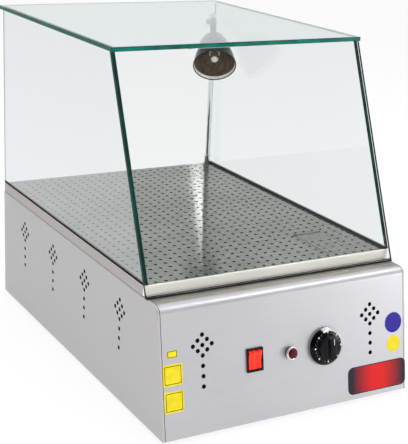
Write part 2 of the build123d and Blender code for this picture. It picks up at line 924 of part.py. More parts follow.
# Lamp pole with its shoulder, held on the deck by a collar and a nut
pivot_z = roof_under - lamp_drop
block_bottom = pivot_z - block_height / 2
block_top = pivot_z + block_height / 2
with BuildPart() as lamp_pole:
    with BuildSketch(Plane.XY.offset(deck_under - pole_thread)):
        with Locations((pole_x, pole_y)):
            Circle(pole_radius)
    extrude(amount=block_top + clearance - deck_under + pole_thread)
    with BuildSketch(Plane.XY.offset(block_bottom - shoulder_height)):
        with Locations((pole_x, pole_y)):
            Circle(block_radius)
    extrude(amount=shoulder_height)
lamp_pole.part.label = "lamp_pole"
export_step(lamp_pole.part, "parts/lamp_pole.step")

with BuildPart() as pole_collar:
    with BuildSketch(Plane.XY.offset(deck_top)):
        with Locations((pole_x, pole_y)):
            Circle(collar_radius)
            Circle(pole_radius, mode=Mode.SUBTRACT)
    extrude(amount=collar_height)
    chamfer(edges().group_by(Axis.Z)[-1].sort_by(SortBy.LENGTH)[-1], collar_edge)
pole_collar.part.label = "pole_collar"
export_step(pole_collar.part, "parts/pole_collar.step")

with BuildPart() as pole_nut:
    with BuildSketch(Plane.XY.offset(deck_under - pole_nut_height)):
        with Locations((pole_x, pole_y)):
            RegularPolygon(pole_nut_flats / 2, 6, major_radius=False)
            Circle(pole_radius, mode=Mode.SUBTRACT)
    extrude(amount=pole_nut_height)
pole_nut.part.label = "pole_nut"
export_step(pole_nut.part, "parts/pole_nut.step")

with BuildPart() as pole_cap:
    with BuildSketch(Plane.XY.offset(block_top + clearance)):
        with Locations((pole_x, pole_y)):
            Circle(block_radius)
    extrude(amount=cap_height)
    chamfer(edges().group_by(Axis.Z)[-1], cap_edge)
pole_cap.part.label = "pole_cap"
export_step(pole_cap.part, "parts/pole_cap.step")

# Swivel block: it turns on the pole and carries the tilt fork
heading = (-sin(radians(lamp_heading)), -cos(radians(lamp_heading)), 0)
tilt_dir = (cos(radians(lamp_heading)), -sin(radians(lamp_heading)), 0)
pivot = (
    pole_x + pivot_reach * heading[0],
    pole_y + pivot_reach * heading[1],
    pivot_z,
)
swivel_plane = Plane(origin=(pole_x, pole_y, pivot_z), x_dir=tilt_dir, z_dir=(0, 0, 1))
tilt_plane = Plane(origin=pivot, x_dir=heading, z_dir=tilt_dir)
slot_width = tongue + 2 * tongue_gap
fork_width = slot_width + 2 * cheek

with BuildPart() as swivel_block:
    with BuildSketch(swivel_plane.offset(-block_height / 2)):
        Circle(block_radius)
    extrude(amount=block_height)
    with BuildSketch(swivel_plane.offset(-pivot_radius)):
        Rectangle(fork_width, pivot_reach, align=(Align.CENTER, Align.MAX))
    extrude(amount=2 * pivot_radius)
    with BuildSketch(tilt_plane):
        Circle(pivot_radius)
    extrude(amount=fork_width / 2, both=True)
    with BuildSketch(swivel_plane.offset(-block_height)):
        with Locations((0, -block_radius)):
            Rectangle(slot_width, 2 * pivot_reach, align=(Align.CENTER, Align.MAX))
    extrude(amount=2 * block_height, mode=Mode.SUBTRACT)
    with BuildSketch(tilt_plane):
        Circle(tilt_pin_radius + clearance)
    extrude(amount=fork_width, both=True, mode=Mode.SUBTRACT)
    with BuildSketch(swivel_plane.offset(-block_height)):
        Circle(pole_radius + clearance)
    extrude(amount=2 * block_height, mode=Mode.SUBTRACT)
swivel_block.part.label = "swivel_block"
export_step(swivel_block.part, "parts/swivel_block.step")

with BuildPart() as tilt_pin:
    with BuildSketch(tilt_plane):
        Circle(tilt_pin_radius)
    extrude(amount=fork_width / 2, both=True)
tilt_pin.part.label = "tilt_pin"
export_step(tilt_pin.part, "parts/tilt_pin.step")

with BuildPart() as thumb_knob:
    with BuildSketch(tilt_plane.offset(-fork_width / 2)):
        Circle(thumb_radius)
    extrude(amount=-thumb_length)
    chamfer(edges().group_by(Axis(pivot, tilt_dir))[0], thumb_edge)
thumb_knob.part.label = "thumb_knob"
export_step(thumb_knob.part, "parts/thumb_knob.step")

# Lamp head: neck, socket, shade and bulb along the lamp's own axis
droop = radians(lamp_droop)
aim = (heading[0] * cos(droop), heading[1] * cos(droop), -sin(droop))
head_plane = Plane(origin=pivot, x_dir=tilt_dir, z_dir=aim)
head_axis = Axis(pivot, aim)
head_side = Plane(origin=pivot, x_dir=tilt_dir, z_dir=Vector(*tilt_dir).cross(Vector(*aim)))
shade_back = shade_reach - shade_depth

with BuildPart() as lamp_neck:
    with BuildSketch(tilt_plane):
        Circle(pivot_radius)
    extrude(amount=tongue / 2, both=True)
    with BuildSketch(head_plane):
        Rectangle(tongue, 2 * pivot_radius)
    extrude(amount=neck_start)
    with BuildSketch(head_plane.offset(neck_start)):
        Circle(neck_radius)
    extrude(amount=shade_back - neck_start)
    with BuildSketch(tilt_plane):
        Circle(tilt_pin_radius + clearance)
    extrude(amount=tongue, both=True, mode=Mode.SUBTRACT)
lamp_neck.part.label = "lamp_neck"
export_step(lamp_neck.part, "parts/lamp_neck.step")

with BuildPart() as lamp_shade:
    with BuildSketch(head_side):
        with BuildLine():
            Line((0, shade_back), (shade_back_radius, shade_back))
            TangentArc(
                (shade_back_radius, shade_back),
                (shade_shoulder_radius, shade_back + shade_shoulder),
                tangent=(1, 0),
            )
            ThreePointArc(
                (shade_shoulder_radius, shade_back + shade_shoulder),
                (shade_belly_radius, shade_reach - shade_belly),
                (shade_radius, shade_reach),
            )
            offset(amount=shade_wall, side=Side.LEFT)
        make_face()
        with Locations((shade_radius, shade_reach)):
            Rectangle(shade_lip, shade_lip, align=Align.MAX)
    revolve(axis=head_axis)
lamp_shade.part.label = "lamp_shade"
export_step(lamp_shade.part, "parts/lamp_shade.step")

socket_front = shade_back + shade_wall + socket_length
with BuildPart() as lamp_socket:
    with BuildSketch(head_plane.offset(shade_back + shade_wall)):
        Circle(socket_radius)
    extrude(amount=socket_length)
lamp_socket.part.label = "lamp_socket"
export_step(lamp_socket.part, "parts/lamp_socket.step")

with BuildPart() as lamp_bulb:
    with BuildSketch(head_plane.offset(socket_front)):
        Circle(bulb_radius)
    extrude(amount=bulb_length)
    fillet(edges().sort_by(head_axis).last, bulb_crown)
lamp_bulb.part.label = "lamp_bulb"
export_step(lamp_bulb.part, "parts/lamp_bulb.step")

# Cable gland, its nut and the terminal block
with BuildPart() as cable_gland:
    with BuildSketch(rear_plane):
        with Locations(gland_spot):
            RegularPolygon(gland_flange_radius, 6)
    extrude(amount=gland_flange)
    with BuildSketch(rear_plane):
        with Locations(gland_spot):
            Circle(gland_radius)
    extrude(amount=gland_length)
    with BuildSketch(rear_plane):
        with Locations(gland_spot):
            Circle(gland_radius)
    extrude(amount=-gland_thread)
    with BuildSketch(rear_plane.offset(gland_length)):
        with Locations(gland_spot):
            Circle(gland_bore)
    extrude(amount=-gland_length - gland_thread, mode=Mode.SUBTRACT)
cable_gland.part.label = "cable_gland"
export_step(cable_gland.part, "parts/cable_gland.step")

with BuildPart() as gland_nut:
    with BuildSketch(rear_plane.offset(-sheet)):
        with Locations(gland_spot):
            RegularPolygon(gland_nut_flats / 2, 6, major_radius=False)
            Circle(gland_radius, mode=Mode.SUBTRACT)
    extrude(amount=-gland_nut_height)
gland_nut.part.label = "gland_nut"
export_step(gland_nut.part, "parts/gland_nut.step")

with BuildPart() as terminal_block:
    block_y = rear_y - terminal_block_back
    with BuildSketch(Plane.XY.offset(floor_top)):
        with Locations((gland_x - terminal_block_width, block_y)):
            Rectangle(terminal_block_width, terminal_block_depth)
    extrude(amount=terminal_block_height)
    with BuildSketch(Plane.XY.offset(floor_top + terminal_block_height)):
        with Locations((gland_x - terminal_block_width, block_y)):
            with GridLocations(terminal_block_width / terminal_ways, 0, terminal_ways, 1):
                Rectangle(terminal_block_width / terminal_ways / 2, terminal_block_depth / 2)
    extrude(amount=-terminal_block_height / 3, mode=Mode.SUBTRACT)
terminal_block.part.label = "terminal_block"
export_step(terminal_block.part, "parts/terminal_block.step")
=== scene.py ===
"""Looks of the heated display case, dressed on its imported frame."""

from cmath import phase, rect
from math import atan2, cos, hypot, pi, radians, sin, sqrt, tan

import bmesh
import bpy
from mathutils import Matrix, Vector
from mathutils.geometry import delaunay_2d_cdt

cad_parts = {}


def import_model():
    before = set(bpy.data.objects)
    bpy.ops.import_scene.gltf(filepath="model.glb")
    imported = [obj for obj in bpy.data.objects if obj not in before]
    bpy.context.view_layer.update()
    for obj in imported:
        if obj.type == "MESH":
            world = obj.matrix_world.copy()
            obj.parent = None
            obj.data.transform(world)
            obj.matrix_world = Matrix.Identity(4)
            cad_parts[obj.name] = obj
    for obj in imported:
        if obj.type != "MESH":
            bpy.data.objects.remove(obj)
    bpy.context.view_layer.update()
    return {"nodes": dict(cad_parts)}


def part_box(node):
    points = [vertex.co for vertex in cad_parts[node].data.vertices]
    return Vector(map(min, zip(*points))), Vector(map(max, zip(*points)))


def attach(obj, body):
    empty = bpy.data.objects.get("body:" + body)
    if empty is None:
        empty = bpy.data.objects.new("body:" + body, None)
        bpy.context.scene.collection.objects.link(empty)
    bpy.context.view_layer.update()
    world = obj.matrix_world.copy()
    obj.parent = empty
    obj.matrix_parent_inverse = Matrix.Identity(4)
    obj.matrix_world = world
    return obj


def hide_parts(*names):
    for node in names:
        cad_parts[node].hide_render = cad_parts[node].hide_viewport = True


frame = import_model()

# Sizes are in millimetres and angles in degrees, in the frame of the CAD model; the floor and
# the lights are in metres
MM = 0.001

# Meshes
weld_distance = 0.01
smooth_angle = 35
round_angle = 30
round_sides = 24
fine_sides = 96

# Base: folded sheet, bends and seams
sheet = 1.5
panel_setback = 29.6
fold_radius = 12
edge_bend = 2
seam = 0.8
side_sheet = 1.2
skirt_gap = 0.9
side_return = 1.2
bend_steps = 6
fold_steps = 14

# Vent groups
vent_radius = 3.1
vent_pitch = 10
vent_sides = 20
vent_tail = 3
front_vent_x = 136.4
front_vent_height = 119.5
side_vent_height = 134.9
side_vent_start = 139.8
side_vent_spacing = 120.8
side_vent_count = 4

# Deck perforation and the hatch
deck_bend = 2.2
deck_corner = 3.4
hole_radius = 2.55
hole_sides = 14
hole_pitch = 15.28
hole_first_x = -178.98
hole_first_row = 78.29
hole_columns = 25
hole_rows = 34
pole_clearance = 9
hatch_x = 126
hatch_width = 49
hatch_front = 83
hatch_rear = 178.5
hatch_gap = 1
hatch_wide_gap = 1.5
hatch_narrow_gap = 0.5
hatch_margin = 3
hatch_rim = 2
hatch_corner = 1.0
hatch_plain = 146
hinge_radius = 2
hinge_bore = 1.05
hinge_half = 7
hinge_side = 2.3
hinge_leaf = 1
hinge_lap = 1
hinge_rounding = 0.15

# Polished arris of the panes
glass_arris = 0.7

# Controls on the sloped panel; profiles are (radius, height)
control_height = 86.5
switch_x = -57.4
pilot_x = 0.2
knob_x = 57.8
switch_width = 25.5
switch_length = 33
switch_lip = 1.2
rocker_width = 19.7
rocker_radius = 13.6
rocker_end = 6.6
rocker_middle = 4.4
rocker_root = 2
rocker_axis_depth = 2.5
rocker_tilt = 7
rocker_steps = 10
rocker_side_steps = 8
rocker_hollow = 1.4
rocker_rounding = 0.7
pilot_stem = 6.05
shaft_hole = 4.5
pilot_ring = (
    (6.0, 0.0), (8.7, 0.0), (8.7, 3.4), (9.1, 3.9), (9.55, 4.6), (9.6, 5.4), (9.5, 6.4), (9.1, 7.1),
    (8.5, 7.45), (7.9, 7.4), (7.45, 7.0), (7.3, 6.3), (7.3, 3.0), (0.0, 3.0),
)
pilot_lens_facets = ((0.0, 3.1), (7.1, 3.1), (7.1, 6.9), (4.3, 9.0), (0.0, 9.4))
pilot_lens_sides = 10
# Height on the pilot ring below which it takes dark chrome: painted shade on the ring's side
pilot_painted_shade_below = 4.2
knob_ring_profile = (
    (22.3, 2.7), (26.6, 2.7), (27.0, 3.1), (27.0, 4.2), (26.7, 4.8), (23.2, 8.2), (22.7, 8.5),
    (22.3, 8.3), (22.3, 2.7),
)
# Painted highlight and shade on the knob ring: its chrome runs from black to bright along this
# angle on the panel, between these distances in millimetres from the knob's middle
painted_highlight_angle = 30
painted_shade_until = -2
painted_highlight_from = 12
dial_radius = 22.3
dial_lift = 7.9
dial_bottom = 2.7
grip_base = 18
grip_top = 23.6
grip_taper = 11
grip_rounding = 1.3
grip_scoop = (
    (3.6, 0.0), (4.2, 0.25), (4.7, 0.9), (5.0, 2.0), (5.5, 6.0), (6.1, 7.6), (7.2, 8.5), (9.0, 8.9),
)
grip_columns = (0, 1.8, 5.2, 5.8, 6.6, 8.0, 10.5, 12, 13.5, 14.6, 15.4, 16.0, 16.5, 16.9)
grip_rows = (-1, -0.995, -0.98, -0.955, -0.92, -0.86, -0.7, -0.45, -0.2, 0)
grip_least_chord = 0.2
grip_smooth_angle = 50
dial_bore = 3.0
dial_step = 0.5
dial_step_width = 0.8
mark_inner = 19.0
mark_outer = 22.0
mark_width = 2.4
mark_height = 0.06
mark_step = 45
mark_count = 8
mark_rounding = 0.02
dot_radius = 0.32
dot_ring = 21.1
dots_between = 2
pointer_outline = ((-0.35, 6), (0.35, 6), (0.35, 14.2), (-0.35, 14.2))
pointer_sunk = 0.1
pointer_height = 0.04

# Bare wide plate
wide_plate_x = 147.8
wide_plate_width = 102.4
wide_plate_rim = 1.5

# Lamp; profiles are (radius, distance along the lamp's own axis)
pole_x = 185.5
pole_back = 591.5
lamp_heading = 26.4
lamp_droop = 37
shade_back = 42.3
shade_reach = 99.3
shade_radius = 37
shade_wall = 1
shade_bead = 0.85
shade_band = 7.5
shade_steps = 22
shade_neck = ((5.0, 42.3), (15, 42.3), (17.6, 42.9), (19.4, 44.5))
shade_shoulder = (20, 46.3)
shade_belly = (31.8, 75.3)
shade_lip = (36.6, 97.3)
shade_inset = 0.2
shade_collar = 14.4
socket_profile = (
    (0.0, 43.4), (8.8, 43.4), (9.4, 44.1), (9.4, 54.3), (8.7, 54.9), (8.7, 56.7), (9.4, 57.3),
    (9.4, 71.4), (9.1, 72.1), (8.5, 72.3), (7.6, 72.3), (7.1, 71.8), (7.1, 69.3), (0.0, 69.3),
)
socket_rim_from = 71.2
socket_rim_radius = 7.2
bulb_radius = 6.8
bulb_dome = 5.4
bulb_foot = 69.4
bulb_reach = 88.8
thumb_radius = 5
thumb_half = 3.5
thumb_flutes = 14
thumb_flute_steps = 6
thumb_flute_depth = 0.45

# Rear screws: the head's outline is (share of the radius, height)
screw_radius = 3.4
screw_outline = ((1, 0), (1, 0.5), (0.93, 1.1), (0.75, 1.7), (0.55, 1.95))
screw_socket = 0.42
screw_socket_heights = (1.98, 0.9)
screw_socket_middle = 0.8
screw_columns = (-190, -63, 63, 190)
screw_rows = (16, 172)

# Camera, from the fit to the photograph, whose frame is 408 by 444 pixels
photo_height = 444
focal_pixels = 1141.38
sensor = 36
camera_place = (-827.1, -1471.6, 731.9)
camera_ahead = (0.4751, 0.8262, -0.3028)
camera_down = (-0.1114, -0.2849, -0.9521)


def corners(node):
    """Lowest and highest corner of a CAD node."""
    low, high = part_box(node)
    return Vector(low) / MM, Vector(high) / MM


panel_low, panel_high = corners("front_panel")
deck_low, deck_high = corners("perforated_deck")
front_y = panel_low.y
rear_y = deck_high.y
base_bottom = panel_low.z
base_top = panel_high.z
deck_top = deck_high.z
side_x = panel_high.x
slope = panel_setback / (base_top - base_bottom)
slant = atan2(panel_setback, base_top - base_bottom)
panel_out = Vector((0, -cos(slant), sin(slant)))
panel_up = Vector((0, sin(slant), cos(slant)))


# Mesh helpers

def circle(x, y, radius, sides):
    """Points of a circle in a plane."""
    turns = [2 * pi * i / sides for i in range(sides)]
    return [(x + radius * cos(turn), y + radius * sin(turn)) for turn in turns]


def round_points(x, y, radius, start, end, steps):
    """Points round a centre from one angle to another, both included."""
    turns = [radians(start + (end - start) * i / steps) for i in range(steps + 1)]
    return [(x + radius * cos(turn), y + radius * sin(turn)) for turn in turns]


def rounded_rectangle(x0, y0, x1, y1, radius, steps=4):
    """Points of a rectangle with round corners, anticlockwise."""
    west, south, east, north = x0 + radius, y0 + radius, x1 - radius, y1 - radius
    points = []
    bends = ((east, south, -90), (east, north, 0), (west, north, 90), (west, south, 180))
    for x, y, start in bends:
        points += round_points(x, y, radius, start, start + 90, steps)
    return points


def put(name, data):
    """A new object in the scene."""
    thing = bpy.data.objects.new(name, data)
    bpy.context.scene.collection.objects.link(thing)
    return thing


def link(name, mesh, body, materials, crease=smooth_angle):
    """Puts a mesh in the scene as a piece that rides on a body."""
    for material in materials:
        mesh.materials.append(material)
    mesh.shade_smooth()
    mesh.set_sharp_from_angle(angle=radians(crease))
    piece = put(name, mesh)
    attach(piece, body)
    return piece


def mesh_from(name, points, faces, up=None):
    """A welded mesh from points in millimetres; its normals face out, or along up if open."""
    mesh = bpy.data.meshes.new(name)
    work = bmesh.new()
    verts = [work.verts.new(Vector(p)) for p in points]
    for face in faces:
        if len(set(face)) > 2:
            work.faces.new([verts[i] for i in face])
    bmesh.ops.remove_doubles(work, verts=work.verts, dist=weld_distance)
    bmesh.ops.recalc_face_normals(work, faces=work.faces)
    if up is not None:
        largest = max(work.faces, key=lambda f: f.calc_area())
        if largest.normal.dot(Vector(up)) < 0:
            bmesh.ops.reverse_faces(work, faces=work.faces)
    bmesh.ops.scale(work, vec=(MM, MM, MM), verts=work.verts)
    work.to_mesh(mesh)
    work.free()
    return mesh


def made(name, points, faces, body, materials, crease=smooth_angle, up=None):
    """A piece from points in millimetres and faces; an open one faces along up."""
    return link(name, mesh_from(name, points, faces, up), body, materials, crease)


def folded(name, points, faces, up, body, materials, choose=None, thickness=sheet):
    """A piece of sheet metal that is thickened inwards.

    choose picks a face's material; the inside takes the second half of the materials.
    """
    piece = made(name, points, faces, body, materials, up=up)
    if choose:
        for face in piece.data.polygons:
            face.material_index = choose(face)
    modifier = piece.modifiers.new("Sheet thickness", "SOLIDIFY")
    modifier.thickness = thickness * MM
    modifier.offset = -1
    modifier.use_even_offset = True
    modifier.material_offset = len(materials) // 2
    modifier.material_offset_rim = len(materials) // 2
    edges = piece.modifiers.new("Sheet edges", "EDGE_SPLIT")
    edges.split_angle = radians(smooth_angle)
    edges.use_edge_sharp = False
    return piece


def weighted(piece):
    """Normals that follow the large faces."""
    modifier = piece.modifiers.new("Weighted normals", "WEIGHTED_NORMAL")
    modifier.keep_sharp = True
    modifier.weight = 80
    return piece


def rounded(piece, width, segments):
    """Rounds the sharp edges of a piece, with normals that follow its large faces."""
    modifier = piece.modifiers.new("Edge radius", "BEVEL")
    modifier.width = width * MM
    modifier.segments = segments
    modifier.limit_method = "ANGLE"
    modifier.angle_limit = radians(round_angle)
    modifier.harden_normals = False
    return weighted(piece)


def holed(outline, holes, lines=()):
    """Triangles of a flat outline with holes and with lines that no triangle crosses."""
    points = [Vector(p) for p in outline]
    area = sum(a.x * b.y - b.x * a.y for a, b in zip(points, points[1:] + points[:1]))
    if area < 0:
        points.reverse()
    faces = [list(range(len(points)))]
    for hole in holes:
        faces.append(list(range(len(points), len(points) + len(hole))))
        points += [Vector(p) for p in hole]
    edges = []
    for line in lines:
        edges.append((len(points), len(points) + 1))
        points += [Vector(p) for p in line]
    found = delaunay_2d_cdt(points, edges, faces, 1, 1e-5)
    kept = [face for face, origin in zip(found[2], found[5]) if list(origin) == [0]]
    return found[0], kept


def rings(loops, closed=True):
    """Faces between neighbouring loops of equal length."""
    count = len(loops[0])
    points = [p for loop in loops for p in loop]
    faces = []
    for k in range(len(loops) - 1):
        for i in range(count if closed else count - 1):
            j = (i + 1) % count
            faces.append((k * count + i, k * count + j, (k + 1) * count + j, (k + 1) * count + i))
    return points, faces


def joined(*parts):
    """Points and faces of several parts as one list each."""
    points, faces = [], []
    for some_points, some_faces in parts:
        start = len(points)
        points += list(some_points)
        faces += [tuple(start + i for i in face) for face in some_faces]
    return points, faces


def turned_loops(profile, place, sides):
    """One loop of points about the Z axis of place for each (radius, height) point."""
    return [[place @ Vector((*p, z)) for p in circle(0, 0, r, sides)] for r, z in profile]


def turned(name, profile, place, body, materials, sides=64, choose=None, crease=smooth_angle):
    """A piece turned about the Z axis of place.

    choose picks a face's material from its radius, its height and whether it faces outwards.
    """
    piece = made(name, *rings(turned_loops(profile, place, sides)), body, materials, crease)
    if choose:
        inverse = place.inverted()
        for face in piece.data.polygons:
            local = inverse @ (face.center / MM)
            normal = inverse.to_3x3() @ face.normal
            outwards = normal.x * local.x + normal.y * local.y > 0 or normal.z < -0.7
            face.material_index = choose(hypot(local.x, local.y), local.z, outwards)
    return piece


def raised(name, outline, place, low, high, body, materials, edge=0.4, segments=3):
    """A flat outline raised from low to high along the Z axis of place, its edges rounded."""
    count = len(outline)
    points = [place @ Vector((*p, z)) for z in (low, high) for p in outline]
    faces = [tuple(reversed(range(count))), tuple(range(count, 2 * count))]
    faces += [(i, (i + 1) % count, count + (i + 1) % count, count + i) for i in range(count)]
    return rounded(made(name, points, faces, body, materials), edge, segments)


def dressed(node, body, materials, edge=0.3, segments=2):
    """A CAD node's own shape with rounded edges, in place of the node."""
    mesh = frame["nodes"][node].data.copy()
    mesh.materials.clear()
    work = bmesh.new()
    work.from_mesh(mesh)
    bmesh.ops.remove_doubles(work, verts=work.verts, dist=0.002 * MM)
    bmesh.ops.dissolve_limit(work, angle_limit=radians(0.5), verts=work.verts, edges=work.edges)
    work.to_mesh(mesh)
    work.free()
    piece = link(node + "_detail", mesh, body, materials)
    if edge:
        rounded(piece, edge, segments)
    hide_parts(node)
    return piece


def placed(origin, x, y, z):
    """A frame at a point, with its three axes."""
    return Matrix.Translation(origin) @ Matrix((x, y, z)).transposed().to_4x4()


def place_on_panel(x, height=control_height, lift=0):
    """Frame on the sloped panel: X to the right, Y up the panel, Z outwards."""
    origin = Vector((x, front_y + slope * height, base_bottom + height)) + lift * panel_out
    return placed(origin, Vector((1, 0, 0)), panel_up, panel_out)


# Materials

# Values between which most of a noise lies
noise_low, noise_high = 0.3, 0.7


def feed(socket, value):
    """Sets a socket, or links another node's socket or its first output to it."""
    if isinstance(value, bpy.types.Node):
        value = value.outputs[0]
    if isinstance(value, bpy.types.NodeSocket):
        socket.id_data.links.new(value, socket)
    else:
        socket.default_value = value


def add_node(near, kind, *first, **named):
    """A new node in the same tree as near, its first and its named sockets fed."""
    node = near.id_data.nodes.new("ShaderNode" + kind)
    for socket, value in zip(node.inputs, first):
        feed(socket, value)
    for name, value in named.items():
        feed(node.inputs[name.replace("_", " ")], value)
    return node


def shader(name, colour, roughness, metallic=0.0, **sockets):
    """A new material and its surface shader, with the shader's own values set."""
    material = bpy.data.materials.new(name)
    material.use_nodes = True
    surface = material.node_tree.nodes["Principled BSDF"]
    values = {"Base Color": (*colour, 1), "Roughness": roughness, "Metallic": metallic}
    for socket, value in (values | sockets).items():
        surface.inputs[socket.replace("_", " ")].default_value = value
    return material, surface


def with_surface(material):
    """A material and its surface shader."""
    return material, material.node_tree.nodes["Principled BSDF"]


def noise(near, stretch, detail=3.0, roughness=0.55):
    """A noise texture in the frame's metres, stretched along the axes."""
    place = add_node(near, "TexCoord").outputs["Object"]
    mapping = add_node(near, "Mapping", Vector=place, Scale=stretch)
    return add_node(
        near, "TexNoise", Vector=mapping, Scale=1.0, Detail=detail, Roughness=roughness
    )


def along(near, coordinate, direction):
    """How far a point or a ray reaches in a direction."""
    place = add_node(near, "TexCoord").outputs[coordinate]
    node = add_node(near, "VectorMath", place, direction)
    node.operation = "DOT_PRODUCT"
    return node.outputs["Value"]


def mapped(value, start, end, low, high, interpolation="LINEAR"):
    """Maps a value from start..end to low..high."""
    node = add_node(value, "MapRange", value, start, end, low, high)
    node.interpolation_type = interpolation
    return node


def ramp(value, *stops):
    """The colour for a value between stops of a position and a colour."""
    node = add_node(value, "ValToRGB", value)
    elements = node.color_ramp.elements
    for position, _ in stops[1:-1]:
        elements.new(position)
    for element, (position, colour) in zip(elements, stops):
        element.position = position
        element.color = (*colour, 1)
    return node


def tint(surface, value, dark, light):
    """Colours the surface between two colours by a noise value."""
    feed(surface.inputs["Base Color"], ramp(value, (noise_low, dark), (noise_high, light)))


def roughen(surface, value, low, high):
    """Roughness between low and high by a noise value."""
    feed(surface.inputs["Roughness"], mapped(value, noise_low, noise_high, low, high))


def bump(surface, value, strength, depth):
    """Bump of a depth in millimetres from a noise value."""
    node = add_node(value, "Bump", Strength=strength, Distance=depth * MM, Height=value)
    feed(surface.inputs["Normal"], node)


def shade(colour, factor):
    """A colour made darker or lighter."""
    return tuple(min(1.0, channel * factor) for channel in colour)


def brushed(name, colour, roughness, grain, metallic=0.85, contrast=0.05, depth=0.02):
    """Brushed sheet metal; grain is the noise stretch, long along the brushing."""
    material, surface = shader(name, colour, roughness, metallic)
    lines = noise(surface, grain, detail=4)
    clouds = noise(surface, (7, 7, 7), detail=2)
    mixed = add_node(surface, "Mix", Factor=0.45, A=lines, B=clouds)
    mixed.data_type = "FLOAT"
    tint(surface, mixed, shade(colour, 1 - contrast), shade(colour, 1 + contrast))
    roughen(surface, mixed, roughness * 0.82, roughness * 1.2)
    bump(surface, lines, 0.35, depth)
    return material


def deck_steel():
    """Steel brushed across the case, whose highlights stretch along its depth."""
    material, surface = with_surface(
        brushed("deck steel", (0.255, 0.26, 0.23), 0.13, along_x, 0.85, 0.3)
    )
    surface.inputs["Anisotropic"].default_value = 0.93
    feed(surface.inputs["Tangent"], add_node(surface, "CombineXYZ", Y=1))
    return material


def ribbed_red():
    """Glossy red plastic with faint upright ribs under its skin."""
    material, surface = with_surface(
        moulded("red plastic", (0.85, 0.03, 0.008), 0.22, variation=0.1, Specular_IOR_Level=0.3)
    )
    ribs = noise(surface, (420, 14, 14), detail=2)
    tint(surface, ribs, (0.55, 0.004, 0.003), (1.0, 0.04, 0.015))
    return material


def polished(name, colour, roughness):
    """Plated or polished metal with faint wipe marks."""
    material, surface = shader(name, colour, roughness, 1.0)
    smear = noise(surface, (60, 60, 160))
    roughen(surface, smear, roughness * 0.6, roughness * 1.7)
    tint(surface, smear, shade(colour, 0.94), shade(colour, 1.04))
    bump(surface, smear, 0.06, 0.05)
    return material


def ring_chrome_painted_highlight():
    """Chrome with a painted reflection: bright towards the upper right of the knob and black at its
    other side.
    """
    material, surface = with_surface(polished("ring chrome, painted highlight", (0.8, 0.8, 0.82), 0.1))
    bright = radians(painted_highlight_angle)
    ahead = cos(bright) * Vector((1, 0, 0)) + sin(bright) * panel_up
    middle = (place_on_panel(knob_x).translation * MM).dot(ahead)
    fade = mapped(
        along(surface, "Object", ahead), middle + painted_shade_until * MM,
        middle + painted_highlight_from * MM, 0, 1, "SMOOTHSTEP",
    )
    tint(surface, fade, (0.012, 0.012, 0.014), (0.85, 0.85, 0.87))
    return material


def moulded(name, colour, roughness, grain=900, depth=0.03, variation=0.12, **sockets):
    """Moulded plastic or rubber with a fine skin."""
    material, surface = shader(name, colour, roughness, **sockets)
    clouds = noise(surface, (35, 35, 35))
    tint(surface, clouds, shade(colour, 1 - variation), shade(colour, 1 + variation))
    roughen(surface, clouds, roughness * 0.85, roughness * 1.2)
    bump(surface, noise(surface, (grain, grain, grain), detail=2), 0.25, depth)
    return material


def lets_lamps_through(surface, colour):
    """Lets the lamps' light pass, as clear glass does."""
    shadow = add_node(surface, "LightPath").outputs["Is Shadow Ray"]
    clear = add_node(surface, "BsdfTransparent", (*colour, 1))
    mix = add_node(surface, "MixShader", shadow, surface, clear)
    feed(surface.id_data.nodes["Material Output"].inputs["Surface"], mix)


def clear_glass(name, colour, index=1.5):
    """Clear float glass with a slight cool cast and faint wipe marks."""
    material, surface = shader(name, colour, 0.0, IOR=index, Transmission_Weight=1.0)
    roughen(surface, noise(surface, (9, 9, 22)), 0.0, 0.02)
    lets_lamps_through(surface, (0.93, 0.965, 0.955))
    return material


def glass_edge(name, dark, light):
    """Ground edge of a pane, between two deep greens."""
    material, surface = shader(name, light, 0.35, Specular_IOR_Level=0.1)
    streaks = noise(surface, (26, 26, 26), detail=4, roughness=0.7)
    tint(surface, streaks, dark, light)
    roughen(surface, streaks, 0.28, 0.45)
    bump(surface, noise(surface, (500, 500, 500)), 0.2, 0.05)
    return material


def white_glass():
    """Milky bulb glass."""
    material, surface = shader(
        "bulb glass", (0.95, 0.9, 0.78), 0.18, Subsurface_Weight=0.3, Coat_Weight=0.6
    )
    clouds = noise(surface, (140, 140, 140))
    tint(surface, clouds, (0.92, 0.86, 0.74), (0.98, 0.94, 0.84))
    roughen(surface, clouds, 0.12, 0.26)
    return material


def plain_plate(name, colour):
    """Printed foil plate without any print: satin, a little uneven."""
    material, surface = shader(name, colour, 0.45, Specular_IOR_Level=0.15)
    clouds = noise(surface, (90, 90, 90))
    tint(surface, clouds, shade(colour, 0.88), shade(colour, 1.08))
    roughen(surface, clouds, 0.38, 0.55)
    bump(surface, noise(surface, (260, 260, 260)), 0.2, 0.04)
    return material


def shaded_plate():
    """Bare plate whose red fades to near black at both ends."""
    material, surface = with_surface(plain_plate("shaded foil", (0.5, 0.02, 0.015)))
    start, end = ((wide_plate_x + side * wide_plate_width / 2) * MM for side in (-1, 1))
    across = mapped(along(surface, "Object", (1, 0, 0)), start, end, 0, 1)
    red, left, right = (0.5, 0.01, 0.01), (0.018, 0.014, 0.022), (0.022, 0.014, 0.02)
    colour = ramp(across, (0.08, left), (0.42, red), (0.6, red), (0.95, right))
    feed(surface.inputs["Base Color"], colour)
    return material


